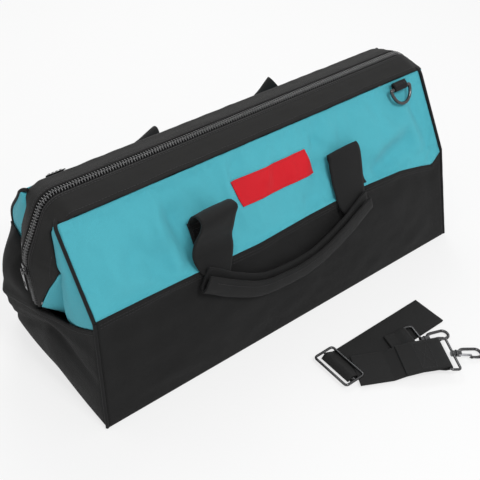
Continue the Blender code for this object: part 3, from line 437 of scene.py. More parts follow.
def add_grid(bm: bmesh.types.BMesh, grid: np.ndarray, outward: Triple | None) -> None:
    """Add a grid of points to a bmesh as quads.

    Args:
        bm: The bmesh.
        grid: Rows by columns by 3.
        outward: The side that faces out, or None to keep the grid's own.
    """
    across, along = grid_lengths(grid)
    uv = np.stack([across - across[:, -1:] / 2, along], axis=2)
    faces = add_quads(bm, [[bm.verts.new(point) for point in row] for row in grid], uv)
    if outward is not None:
        for face in faces:
            face.normal_update()
        facing = sum((face.normal * face.calc_area() for face in faces), Vector())
        if facing.dot(Vector(outward)) < 0:
            bmesh.ops.reverse_faces(bm, faces=faces)


def clear_selection() -> None:
    """Leave edit mode and deselect everything."""
    if bpy.context.object is not None and bpy.context.object.mode != "OBJECT":
        bpy.ops.object.mode_set(mode="OBJECT")
    bpy.ops.object.select_all(action="DESELECT")


def activate(*objs: Piece) -> None:
    """Select pieces, the first of them as the active one.

    Args:
        objs: The pieces.
    """
    clear_selection()
    for obj in objs:
        obj.select_set(True)
    bpy.context.view_layer.objects.active = objs[0]


def apply_modifier(obj: Piece, kind: str, **settings: object) -> None:
    """Add a modifier to a piece and apply it.

    Args:
        obj: The piece.
        kind: The modifier's type.
        settings: Its settings.
    """
    activate(obj)
    modifier = obj.modifiers.new(kind.title(), kind)
    for key, value in settings.items():
        setattr(modifier, key, value)
    bpy.ops.object.modifier_apply(modifier=modifier.name)


def make_sheet(name: str, grid: np.ndarray, outward: Triple | None, thick: float, finish: ClothFinish,
               offset: float = -1.0) -> Piece:
    """Make a cloth piece from one grid of points.

    Args:
        name: The piece's name.
        grid: Rows by columns by 3, on the outer face.
        outward: The side that faces out.
        thick: Thickness in metres.
        finish: Its cloth.
        offset: -1 keeps the outer face, 0 spreads the thickness both ways.

    Returns:
        The new piece.
    """
    bm = bmesh.new()
    add_grid(bm, grid, outward)
    obj = finish_bmesh(name, bm, finish)
    apply_modifier(obj, "SOLIDIFY", thickness=thick, offset=offset, use_even_offset=False)
    return obj


def declare_sheet(obj: Piece, grids: list[np.ndarray]) -> None:
    """Log the flat size that a cloth piece was cut to.

    Args:
        obj: The piece.
        grids: The grids it was made from, side by side along their rows.
    """
    width = 0.0
    length = 0.0
    area = 0.0
    for grid in grids:
        across, along = grid_lengths(grid)
        width += float(across[:, -1].max())
        length = max(length, float(along[-1].max()))
        diagonals = np.cross(grid[1:, 1:] - grid[:-1, :-1], grid[:-1, 1:] - grid[1:, :-1])
        area += float(np.linalg.norm(diagonals, axis=2).sum() / 2)
    area = min(area, width * length)
    LOG.info("%s is cut %.3f x %.3f m", obj.name, width, length)


def tube_rings(path: np.ndarray, radius: float | np.ndarray, sides: int) -> np.ndarray:
    """Return rings of points round a path.

    Args:
        path: Points by 3.
        radius: One radius or one for each point.
        sides: Points in each ring.

    Returns:
        Rings by sides by 3.
    """
    tangents = np.gradient(path, axis=0)
    tangents /= np.linalg.norm(tangents, axis=1, keepdims=True)
    normal = np.cross(tangents[0], (0.0, 0.0, 1.0))
    if np.linalg.norm(normal) < 1e-3:
        normal = np.cross(tangents[0], (1.0, 0.0, 0.0))
    angles = np.linspace(0, 2 * math.pi, sides + 1)[:-1]
    radii = np.broadcast_to(radius, (len(path),))
    rings = []
    for point, tangent, size in zip(path, tangents, radii):
        normal = normal - tangent * normal.dot(tangent)
        normal /= np.linalg.norm(normal)
        binormal = np.cross(tangent, normal)
        rings.append(point + size * (np.cos(angles)[:, None] * normal + np.sin(angles)[:, None] * binormal))
    return np.array(rings)


def add_tube(bm: bmesh.types.BMesh, path: np.ndarray, radius: float | np.ndarray, sides: int) -> None:
    """Add a capped round tube to a bmesh.

    Args:
        bm: The bmesh.
        path: Points by 3.
        radius: One radius or one for each point.
        sides: Sides round the tube.
    """
    along = np.concatenate([[0.0], np.cumsum(np.linalg.norm(np.diff(path, axis=0), axis=1))])
    girth = 2 * math.pi * float(np.mean(radius)) / sides
    verts = [[bm.verts.new(point) for point in ring] for ring in tube_rings(path, radius, sides)]
    uv = np.array([[(side * girth, place) for side in range(sides + 1)] for place in along])
    add_quads(bm, [ring + ring[:1] for ring in verts], uv)
    bm.faces.new(list(reversed(verts[0])))
    bm.faces.new(verts[-1])


def line_length(points: np.ndarray) -> float:
    """Return a polyline's length."""
    return float(np.linalg.norm(np.diff(points, axis=0), axis=1).sum())


def smooth_path(points: Iterable[Iterable[float]], count: int) -> np.ndarray:
    """Return a smooth curve through points, evenly spaced.

    Args:
        points: The points to pass through.
        count: How many points to return.

    Returns:
        Count by the points' own dimension.
    """
    knots = np.asarray(points, float)
    ends = np.vstack([2 * knots[0] - knots[1], knots, 2 * knots[-1] - knots[-2]])
    fine = []
    for i in range(1, len(ends) - 2):
        before, here, there, after = ends[i - 1:i + 3]
        for t in np.linspace(0, 1, 16, endpoint=False):
            fine.append(0.5 * (2 * here + (there - before) * t
                               + (2 * before - 5 * here + 4 * there - after) * t * t
                               + (3 * here - before - 3 * there + after) * t ** 3))
    fine.append(knots[-1])
    return even_path(np.array(fine), count)


def even_path(points: np.ndarray, count: int) -> np.ndarray:
    """Space points evenly along a polyline.

    Args:
        points: The polyline.
        count: How many points to return.

    Returns:
        Count by the polyline's own dimension.
    """
    steps = np.linalg.norm(np.diff(points, axis=0), axis=1)
    along = np.concatenate([[0.0], np.cumsum(steps)])
    wanted = np.linspace(0, along[-1], count)
    return np.stack([np.interp(wanted, along, points[:, i]) for i in range(points.shape[1])], axis=1)


@dataclass(frozen=True)
class StitchLine:
    """A row of stitches: short rounded lengths of thread."""

    length: float = 0.0030
    gap: float = 0.0011
    radius: float = 0.00030
    taper: tuple[float, ...] = (0.35, 1.0, 1.0, 0.35)
    sides: int = 5

    def build(self, name: str, lines: list[np.ndarray], finish: HardFinish) -> Piece:
        """Lay stitches along lines on a surface.

        Args:
            name: The piece's name.
            lines: Polylines that lie on the surface.
            finish: The thread.

        Returns:
            One piece with every stitch.
        """
        bm = bmesh.new()
        for line in lines:
            count = max(int(line_length(line) / (self.length + self.gap)), 1)
            stops = even_path(line, count * 4 + 1)
            for i in range(count):
                add_tube(bm, stops[i * 4:i * 4 + 4], np.array(self.taper) * self.radius, self.sides)
        return finish_bmesh(name, bm, finish, 180.0)


def stitch(name: str, lines: list[np.ndarray]) -> Piece:
    """Lay black stitches along lines on a surface."""
    return StitchLine().build(name, lines, THREAD)


def place_ride(body: str, *objs: Piece) -> None:
    """Make pieces ride on one body."""
    for obj in objs:
        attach(obj, body)


# The bag's shape


@dataclass(frozen=True)
class Outline:
    """The bag's main sizes, which its cloth pieces share."""

    base_length: float = 0.600
    base_width: float = 0.246
    seam_height: float = 0.154
    seam_length: float = 0.566
    seam_width: float = 0.2032
    rim_height: float = 0.2553
    rim_length: float = 0.5664
    rim_width: float = 0.0870
    fabric: float = 0.0016
    lining: float = 0.0012
    piping: float = 0.0022
    gap: float = 0.0003
    rear_puff: float = 0.0165
    puff_top: float = 0.198
    puff_reach: float = 0.036

    def corner(self, height: float) -> Pair:
        """Return the corner's half length and half width at a height.

        Args:
            height: Height over the floor.

        Returns:
            Half length and half width.
        """
        if height <= self.seam_height:
            share = height / self.seam_height
            return (mix(self.base_length, self.seam_length, share) / 2,
                    mix(self.base_width, self.seam_width, share) / 2)
        share = (height - self.seam_height) / (self.rim_height - self.seam_height)
        return (mix(self.seam_length, self.rim_length, share) / 2,
                mix(self.seam_width, self.rim_width, share) / 2)

    def puff(self, x: float, height: float, side: int) -> float:
        """Return how far the rear left corner's cloth puffs out behind.

        Args:
            x: Distance along the bag.
            height: Height over the floor.
            side: FRONT or REAR.

        Returns:
            The distance.
        """
        if side == FRONT:
            return 0.0
        near_end = float(smooth(-0.16, -0.28, x) * smooth(self.seam_height, 0.172, height))
        return self.rear_puff * near_end * math.exp(-((height - self.puff_top) / self.puff_reach) ** 2)

    def slope(self) -> Pair:
        """Return the upper panels' lean as a sine and a cosine.

        Returns:
            The outward normal's rise and run.
        """
        run = (self.seam_width - self.rim_width) / 2
        rise = self.rim_height - self.seam_height
        slant = math.hypot(run, rise)
        return run / slant, rise / slant

    def upper(self, x: float, height: float, lift: float, side: int) -> np.ndarray:
        """Return a point over an upper panel's plain face."""
        rise, run = self.slope()
        return np.array((x, side * (self.corner(height)[1] + lift * run), height + lift * rise))

    def normal(self, side: int) -> np.ndarray:
        """Return an upper panel's outward normal."""
        rise, run = self.slope()
        return np.array((0.0, side * run, rise))


BAG = Outline()
PANEL_REACH = BAG.seam_length / 2 - BAG.piping - BAG.gap


@dataclass
class Half:
    """What belongs to the front or the rear half of the bag."""

    label: str

    @property
    def side(self) -> int:
        """Return FRONT or REAR."""
        return SIDES[self.label]


@dataclass(frozen=True)
class Seam:
    """The wavy line where the lower cloth meets the upper panels."""

    front: tuple[Pair, ...] = (
        (-0.2830, 0.0020), (-0.2200, 0.0015), (-0.1500, 0.0), (-0.0500, -0.0030), (0.0300, 0.0015),
        (0.1250, 0.0035), (0.2000, -0.0015), (0.2400, -0.0100), (0.2640, -0.0165), (0.2750, -0.0080),
        (0.2830, 0.0))
    rear_wave: float = 0.0025
    rear_wave_size: float = 0.13
    lean: float = 0.15

    def drop(self, x: float, side: int) -> float:
        """Return how far the seam rises over its plain height.

        Args:
            x: Distance along the bag.
            side: FRONT or REAR.

        Returns:
            The rise, less than 0 where it dips.
        """
        if side == FRONT:
            places, rises = zip(*self.front)
            return float(np.interp(x, places, rises))
        fade = 1.0 - (abs(x) / (BAG.seam_length / 2)) ** 6
        return self.rear_wave * fade * ripple(x, 0.0, self.rear_wave_size, 4.2)

    def point(self, x: float, side: int) -> np.ndarray:
        """Return the seam's point."""
        rise = self.drop(x, side)
        return np.array((x, side * (BAG.seam_width / 2 - self.lean * rise), BAG.seam_height + rise))


SEAM = Seam()


@dataclass(frozen=True)
class Fold:
    """A soft ridge or hollow on a panel, from one point to another."""

    start: Pair
    end: Pair
    width: float
    height: float
    relief: float = 1.5

    def lift(self, x: float, level: float) -> float:
        """Return the fold's height at a place.

        Args:
            x: Distance along the bag.
            level: Height over the floor.

        Returns:
            The lift, less than 0 in a hollow.
        """
        start = Vector(self.start)
        along = Vector(self.end) - start
        place = Vector((x, level)) - start
        share = min(max(place.dot(along) / max(along.length_squared, NOT_ZERO), 0.0), 1.0)
        away = (place - along * share).length
        return self.relief * self.height * math.exp(-(away / self.width) ** 2)


FRONT_FOLDS = (
    Fold((-0.214, 0.198), (-0.178, 0.180), 0.020, -0.0062),
    Fold((-0.240, 0.185), (-0.205, 0.165), 0.013, 0.0030),
    Fold((-0.252, 0.232), (-0.224, 0.205), 0.010, 0.0016),
    Fold((-0.150, 0.215), (-0.144, 0.168), 0.013, -0.0050),
    Fold((-0.168, 0.225), (-0.164, 0.170), 0.012, 0.0036),
    Fold((-0.062, 0.240), (-0.070, 0.212), 0.008, 0.0026),
    Fold((-0.047, 0.238), (-0.054, 0.206), 0.009, -0.0026),
    Fold((0.004, 0.238), (-0.014, 0.213), 0.008, 0.0024),
    Fold((0.066, 0.240), (0.086, 0.219), 0.006, -0.0024),
    Fold((0.088, 0.240), (0.072, 0.222), 0.006, -0.0020),
    Fold((0.064, 0.196), (0.050, 0.170), 0.014, -0.0046),
    Fold((0.232, 0.188), (0.165, 0.168), 0.012, -0.0078),
    Fold((0.222, 0.205), (0.168, 0.186), 0.013, 0.0040),
    Fold((0.256, 0.222), (0.266, 0.188), 0.008, -0.0050),
    Fold((0.236, 0.226), (0.246, 0.176), 0.010, 0.0034),
    Fold((0.160, 0.236), (0.190, 0.214), 0.012, 0.0022),
)
REAR_FOLDS = (
    Fold((-0.225, 0.243), (-0.080, 0.243), 0.015, 0.0052),
    Fold((0.030, 0.243), (0.075, 0.243), 0.016, 0.0042),
    Fold((0.110, 0.243), (0.190, 0.243), 0.014, 0.0034),
    Fold((-0.205, 0.205), (-0.170, 0.180), 0.018, -0.0050),
    Fold((-0.060, 0.235), (-0.050, 0.190), 0.012, 0.0032),
    Fold((0.020, 0.215), (0.045, 0.175), 0.016, -0.0048),
    Fold((0.190, 0.210), (0.215, 0.175), 0.016, -0.0052),
    Fold((0.235, 0.235), (0.250, 0.190), 0.010, 0.0030),
)


@dataclass
class UpperPanel(Half):
    """A long teal panel from the seam up to the mouth band."""

    columns: int = 170
    rows: int = 40
    rim_over: float = 0.0012
    rim_lift: float = -0.0018
    swell: float = 0.0045
    wrinkle: float = 0.0054
    wrinkle_size: float = 0.055
    fine_share: float = 0.45
    fine_size: float = 0.021
    settle_frames: int = 24
    growth: float = 0.028
    cap: float = 0.0045

    def rim(self, x: float) -> np.ndarray:
        """Return the panel's top edge, which tucks in under the band."""
        return BAG.upper(x, BAG.rim_height + self.rim_over, self.rim_lift, self.side)

    def lift(self, x: float, share: float) -> float:
        """Return the cloth's lift off its plain face.

        Args:
            x: Distance along the bag.
            share: How far up the panel, 0 to 1.

        Returns:
            The lift in metres.
        """
        level = mix(BAG.seam_height, BAG.rim_height, share)
        folds = FRONT_FOLDS if self.side == FRONT else REAR_FOLDS
        wave = sum(fold.lift(x, level) for fold in folds)
        wave += self.wrinkle * ripple(x, level, self.wrinkle_size, 3.1 * self.side)
        wave += self.wrinkle * self.fine_share * ripple(x * 1.4, level * 0.8, self.fine_size, 8.7 * self.side)
        end = 1.0 - (abs(x) / PANEL_REACH) ** 10
        edge = float(smooth(0.0, 0.16, share) * smooth(0.0, 0.10, 1.0 - share))
        return (wave + self.swell * math.sin(math.pi * share)) * edge * end

    def grid(self) -> np.ndarray:
        """Return the panel's outer face.

        Returns:
            Rows by columns by 3.
        """
        normal = BAG.normal(self.side)

        def place(share: float, x: float) -> np.ndarray:
            """Return the face's point.

            Args:
                share: How far it is from the seam to the rim, 0 to 1.
                x: Its place along the bag.

            Returns:
                The point.
            """
            plain = mix(SEAM.point(x, self.side), self.rim(x), share)
            plain[1] += self.side * BAG.puff(x, plain[2], self.side)
            return plain + normal * self.lift(x, share)

        return point_grid(place, np.linspace(0, 1, self.rows),
                          np.linspace(-PANEL_REACH, PANEL_REACH, self.columns))

    def settle(self, grid: np.ndarray) -> np.ndarray:
        """Let the cloth settle between its sewn edges by simulation.

        Args:
            grid: The panel's face before it settles.

        Returns:
            The settled face, no point of it moved more than the cap.
        """
        rows, columns = grid.shape[:2]
        bm = bmesh.new()
        add_grid(bm, grid, (0, self.side, 0))
        mesh = bpy.data.meshes.new("settle")
        bm.to_mesh(mesh)
        bm.free()
        obj = add_object("settle", mesh)
        order = np.arange(rows * columns).reshape(rows, columns)
        pinned = sorted(set(order.ravel().tolist()) - set(order[1:-1, 1:-1].ravel().tolist()))
        group = obj.vertex_groups.new(name="sewn")
        group.add(pinned, 1.0, "REPLACE")
        cloth = obj.modifiers.new("Cloth", "CLOTH")
        stiffness = {"tension_stiffness": 25, "compression_stiffness": 25, "shear_stiffness": 12,
                     "bending_stiffness": 1.2, "tension_damping": 15, "compression_damping": 15}
        settings = {"vertex_group_mass": group.name, "quality": 6, "mass": 0.25, "air_damping": 3,
                    "shrink_min": -self.growth, **stiffness}
        for key, value in settings.items():
            setattr(cloth.settings, key, value)
        cloth.settings.effector_weights.gravity = 0.25
        cloth.point_cache.frame_start = 1
        cloth.point_cache.frame_end = self.settle_frames
        scene = bpy.context.scene
        for step in range(1, self.settle_frames + 1):
            scene.frame_set(step)
        graph = bpy.context.evaluated_depsgraph_get()
        done = obj.evaluated_get(graph).to_mesh()
        points = np.zeros(len(done.vertices) * 3)
        done.vertices.foreach_get("co", points)
        obj.evaluated_get(graph).to_mesh_clear()
        bpy.data.objects.remove(obj, do_unlink=True)
        scene.frame_set(1)
        moved = points.reshape(rows, columns, 3) - grid
        reach = np.linalg.norm(moved, axis=2, keepdims=True)
        moved *= np.minimum(1.0, self.cap / np.maximum(reach, NOT_ZERO))
        LOG.info("settled panel moved %.1f mm at most", 1000 * float(np.linalg.norm(moved, axis=2).max()))
        return grid + moved

    def build(self) -> tuple[Piece, np.ndarray]:
        """Build and dress the panel.

        Returns:
            The panel and its grid.
        """
        grid = self.grid()
        grid = self.settle(grid)
        obj = make_sheet(f"teal_{self.label}_panel", grid, (0, self.side, 0), BAG.lining, TEAL_NYLON)
        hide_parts(f"upper_{self.label}_panel")
        blend_panel(obj, self.label)
        declare_sheet(obj, [grid])
        return obj, grid


@dataclass
class PanelSurface:
    """Finds places on a settled upper panel, for what is sewn on it."""

    tree: BVHTree
    side: int

    @classmethod
    def of(cls, grid: np.ndarray, side: int) -> "PanelSurface":
        """Make the finder from a panel's grid.

        Args:
            grid: Rows by columns by 3.
            side: FRONT or REAR.

        Returns:
            The finder.
        """
        rows, columns = grid.shape[:2]
        points = [Vector(point) for point in grid.reshape(-1, 3)]
        faces = [(r * columns + c, r * columns + c + 1, (r + 1) * columns + c + 1, (r + 1) * columns + c)
                 for r in range(rows - 1) for c in range(columns - 1)]
        return cls(BVHTree.FromPolygons(points, faces), side)

    def at(self, x: float, height: float, lift: float) -> np.ndarray:
        """Return a point over the panel.

        Args:
            x: Distance along the bag.
            height: Height of the plain face under it.
            lift: Distance off the real face.

        Returns:
            The point.
        """
        normal = BAG.normal(self.side)
        far = BAG.upper(x, height, 0.05, self.side)
        hit = self.tree.ray_cast(Vector(far), Vector(-normal))[0]
        base = BAG.upper(x, height, 0.0, self.side) if hit is None else np.array(hit)
        return base + normal * lift


@dataclass(frozen=True)
class EndLip:
    """An end panel's upper edge: it leans out, low in front and pushed far out behind.

    The rows hold a place across the end, from -1 in front to 1 behind, then how far the
    cloth reaches from the bag's middle and its height.
    """

    rows: tuple[Triple, ...] = (
        (-1.00, 0.2845, 0.1430), (-0.76, 0.2905, 0.1305), (-0.50, 0.2965, 0.1220), (-0.26, 0.3035, 0.1195),
        (-0.06, 0.3105, 0.1160), (0.35, 0.3185, 0.1055), (0.70, 0.3265, 0.0990), (0.80, 0.3205, 0.1025),
        (0.88, 0.3125, 0.1085),
        (1.00, 0.2845, 0.1430))
    inner_rows: tuple[tuple[float, float, float, float], ...] = (
        (-1.00, 0.2800, -0.0990, 0.1180), (-0.50, 0.2780, -0.0450, 0.0980), (-0.15, 0.2960, -0.0130, 0.1060),
        (0.0, 0.3020, 0.0, 0.1160), (0.12, 0.3020, 0.0120, 0.1290), (0.32, 0.3005, 0.0230, 0.1550),
        (0.56, 0.2960, 0.0350, 0.1790), (0.80, 0.2930, 0.0640, 0.1890), (1.00, 0.2880, 0.0955, 0.1800))
    belly: float = 0.0080
    bulge: float = 0.0130
    foot: Triple = (0.2875, 0.0440, 0.1020)

    def lip(self, u: float) -> Pair:
        """Return the lip's reach and height."""
        places, reaches, heights = zip(*self.rows)
        return float(np.interp(u, places, reaches)), float(np.interp(u, places, heights))

    def inner(self, u: float) -> np.ndarray:
        """Return the inner edge of the cloth that goes in behind the lip."""
        table = np.array(self.inner_rows)
        return np.array([np.interp(u, table[:, 0], table[:, axis]) for axis in (1, 2, 3)])


LIP = EndLip()


@dataclass
class LowerShell:
    """The black lower cloth: one lofted shell of sides and ends that sags a little."""

    side_columns: int = 150
    end_columns: int = 64
    rows: int = 36
    tuck_rows: int = 12
    tuck_start: float = 0.1400
    tuck_end: float = 0.1850
    base_round: float = 0.0040
    corner_inset: float = 0.0022
    belly: float = 0.0030
    end_bulge: float = 0.0060
    sag: float = 0.0032
    seam_groove: float = 0.0035
    corner_hollow: float = 0.0022
    end_creases: tuple[Triple, ...] = ((0.70, 0.93, 0.0026), (0.38, 0.80, -0.0034))
    tuck_sag: float = 0.0040
    tuck_wave: float = 0.0010
    stitch_rows: Pair = (0.955, 0.925)
    stitch_lift: float = 0.00025

    def foot(self, u: float, share: float, along: int, sign: int) -> np.ndarray:
        """Return a point on the rounded edge between the base and a wall.

        Args:
            u: Place along the wall, -1 to 1.
            share: 0 under the base, 1 where the wall starts.
            along: 0 for a long side, 1 for an end.
            sign: Which one, -1 or 1.

        Returns:
            The point.
        """
        angle = share * math.pi / 2
        inset = self.base_round * (1 - math.sin(angle))
        height = self.base_round * (1 - math.cos(angle))
        length, width = BAG.base_length / 2, BAG.base_width / 2
        if along == 0:
            return np.array((u * (length - self.corner_inset), sign * (width - inset), height))
        bulge = self.end_bulge * (1 - u * u) * share
        return np.array((sign * (length - inset + bulge * 0.5), u * (width - self.corner_inset), height))

    def side_point(self, u: float, share: float, side: int) -> np.ndarray:
        """Return a point on a long side.

        Args:
            u: Place along it, -1 to 1.
            share: How far up, 0 to 1.
            side: FRONT or REAR.

        Returns:
            The point.
        """
        top = SEAM.point(u * PANEL_REACH, side)
        low = self.foot(u, 1.0, 0, side)
        point = mix(low, top, share)
        edge = (1.0 - abs(u) ** 8) * float(smooth(0.0, 0.15, share) * smooth(0.0, 0.12, 1.0 - share))
        wave = self.belly * math.sin(math.pi * (u + 1) / 2) * math.sin(math.pi * share)
        wave += self.sag * ripple(point[0], point[2], 0.085, 21.3 * side) * edge
        wave += self.sag * 0.5 * ripple(point[0], point[2] * 1.6, 0.034, 5.9 * side) * edge
        wave -= self.seam_groove * edge * math.exp(-((share - 0.86) / 0.10) ** 2)
        for end in (LEFT, RIGHT):
            wave -= self.corner_hollow * edge * math.exp(-((u - end * 0.93) / 0.045) ** 2)
        point[1] += side * wave
        return point

    def end_point(self, u: float, share: float, end: int) -> np.ndarray:
        """Return a point on an end panel's outer wall.

        Args:
            u: Place across it, -1 to 1.
            share: How far up to the lip, 0 to 1.
            end: LEFT or RIGHT.

        Returns:
            The point.
        """
        reach, top = LIP.lip(u)
        height = mix(self.base_round, top, share)
        half_width = BAG.corner(height)[1]
        middle = 1 - abs(u) ** 2.5
        out = mix(BAG.base_length / 2, reach, share)
        out += LIP.belly * middle * math.sin(math.pi * min(share * 1.15 + 0.12, 1.0))
        edge = (1.0 - abs(u) ** 6) * float(smooth(0.0, 0.12, share) * smooth(0.0, 0.08, 1.0 - share))
        out += self.sag * ripple(u * 0.11, height, 0.050, 33.1 * end) * edge
        for low, high, lift in self.end_creases:
            crease = abs(share - mix(high, low, abs(u + 0.10)))
            out += lift * edge * math.exp(-(crease / 0.07) ** 2)
        seat = BAG.fabric / 2 + self.corner_inset
        return np.array((end * out, u * (half_width - seat), height))

    def tuck_point(self, u: float, share: float, end: int) -> np.ndarray:
        """Return a point on the black cloth behind the lip: down inside in front, up over the fold behind.

        Args:
            u: Place across the end, -1 to 1.
            share: 0 at the lip, 1 at the inner edge.
            end: LEFT or RIGHT.

        Returns:
            The point.
        """
        inner = LIP.inner(u)
        point = mix(self.end_point(u, 1.0, end), np.array((end * inner[0], inner[1], inner[2])), share)
        slack = math.sin(math.pi * share)
        if u > 0:
            point[0] += end * LIP.bulge * math.sin(math.pi * share ** 1.6) * math.sin(math.pi * u ** 1.4)
        else:
            point[2] -= self.tuck_sag * slack * (1 - abs(u) ** 3)
        point[0] += end * self.tuck_wave * slack * ripple(u * 0.1, share * 0.06, 0.024, 12.5 * end)
        return point

    def walls(self) -> list[tuple[np.ndarray, Triple]]:
        """Return the four walls, each with the direction it faces.

        Returns:
            Pairs of a grid and an outward vector.
        """
        shares = np.concatenate([np.linspace(0, 1, 5)[:-1] - 1.0, np.linspace(0, 1, self.rows)])
        pairs = []
        for along, wall_point, columns in ((0, self.side_point, self.side_columns),
                                           (1, self.end_point, self.end_columns)):
            for sign in (-1, 1):
                def place(share: float, u: float) -> np.ndarray:
                    """Return the wall's point, or the base edge's below it."""
                    if share < 0:
                        return self.foot(u, 1.0 + share, along, sign)
                    return wall_point(u, share, sign)

                grid = point_grid(place, shares, np.linspace(-1, 1, columns))
                pairs.append((grid, (sign, 0, 0) if along else (0, sign, 0)))
        return pairs

    def tuck_grid(self, end: int, side: int) -> np.ndarray:
        """Return one half of the cloth behind an end's lip."""
        across = np.linspace(0, side, self.end_columns // 2 + 1)
        return point_grid(lambda share, u: self.tuck_point(u, share, end),
                          np.linspace(0, 1, self.tuck_rows + 1), across)

    def rear_tucks(self) -> None:
        """Build the cloth that goes up over the folds behind."""
        for end_label, end in ENDS.items():
            grid = self.tuck_grid(end, REAR)
            obj = make_sheet(f"rear_{end_label}_tuck", grid, (end, 0, 0), BAG.fabric, BLACK_NYLON)
            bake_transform(obj)
            declare_sheet(obj, [grid])

    def close_corners(self, pairs: list[tuple[np.ndarray, Triple]]) -> None:
        """Bring the walls' upright edges together behind the piping, up to the lip.

        Args:
            pairs: The walls, whose corner columns are moved.
        """
        for side_grid, side_facing in pairs[:2]:
            side = side_facing[1]
            for end_grid, end_facing in pairs[2:]:
                end = end_facing[0]
                side_column = -1 if end > 0 else 0
                end_column = -1 if side > 0 else 0
                heights = side_grid[:, side_column, 2]
                for place in end_grid[:, end_column]:
                    place[:2] = [np.interp(place[2], heights, side_grid[:, side_column, axis])
                                 for axis in range(2)]

    def base_cloth(self) -> Piece:
        """Build the cloth under the base board.

        Returns:
            The cloth.
        """
        half_length = BAG.base_length / 2 - self.base_round
        half_width = BAG.base_width / 2 - self.base_round
        grid = point_grid(lambda y, x: (x, y, 0.0), np.linspace(-half_width, half_width, 27),
                          np.linspace(-half_length, half_length, 61))
        base = make_sheet("base_cloth", grid, (0, 0, -1), BAG.fabric, BLACK_NYLON)
        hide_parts("base_panel")
        declare_sheet(base, [grid])
        return base

    def stitching(self) -> tuple[Piece, Piece]:
        """Build the stitch rows under the seam and along the ends' lips.

        Returns:
            The stitches under the seam and those along the lips.
        """
        seams = [np.array([self.side_point(u, share, side) for u in np.linspace(-0.985, 0.985, 240)])
                 + np.array((0, side * self.stitch_lift, 0))
                 for side in (FRONT, REAR) for share in self.stitch_rows]
        hems = [np.array([self.end_point(u, self.stitch_rows[0], end) for u in np.linspace(-0.97, 0.97, 120)])
                + np.array((end * self.stitch_lift, 0, 0)) for end in (LEFT, RIGHT)]
        return stitch("seam_stitching", seams), stitch("lip_stitching", hems)

    def build(self) -> None:
        """Build and dress the shell, its base cloth and its stitching."""
        pairs = self.walls()
        self.close_corners(pairs)
        bm = bmesh.new()
        for end in (LEFT, RIGHT):
            pairs.append((self.tuck_grid(end, FRONT), (end, 0, 0)))
        for grid, facing in pairs:
            add_grid(bm, grid, facing)
        bmesh.ops.remove_doubles(bm, verts=bm.verts, dist=WELD)
        shell = finish_bmesh("lower_shell", bm, BLACK_NYLON, 40.0)
        apply_modifier(shell, "SOLIDIFY", thickness=BAG.fabric, offset=-1.0, use_even_offset=False)
        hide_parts("lower_front_panel", "lower_rear_panel", "lower_left_end", "lower_right_end")
        declare_sheet(shell, [grid for grid, _ in pairs])
        place_ride("bag", shell, self.base_cloth(), *self.stitching())
        self.rear_tucks()


# The mouth


def rounded_line(corners: list[Pair], radii: list[float], steps: int = 14) -> np.ndarray:
    """Return a polyline whose inner corners are rounded.

    Args:
        corners: The line's corners.
        radii: A radius for each inner corner.
        steps: Points in each arc.

    Returns:
        Points by 2.
    """
    points = [np.array(corners[0])]
    for before, bend, after, radius in zip(corners, corners[1:], corners[2:], radii):
        first = np.subtract(bend, before) / np.linalg.norm(np.subtract(bend, before))
        second = np.subtract(after, bend) / np.linalg.norm(np.subtract(after, bend))
        turn = math.acos(max(-1.0, min(1.0, float(first.dot(second)))))
        start = np.array(bend) - first * radius * math.tan(turn / 2)
        normal = np.array((-first[1], first[0]))
        centre = start - normal * radius
        for step in range(steps + 1):
            angle = -turn * step / steps
            swung = np.array((normal[0] * math.cos(angle) - normal[1] * math.sin(angle),
                              normal[0] * math.sin(angle) + normal[1] * math.cos(angle)))
            points.append(centre + swung * radius)
    points.append(np.array(corners[-1]))
    return np.array(points)


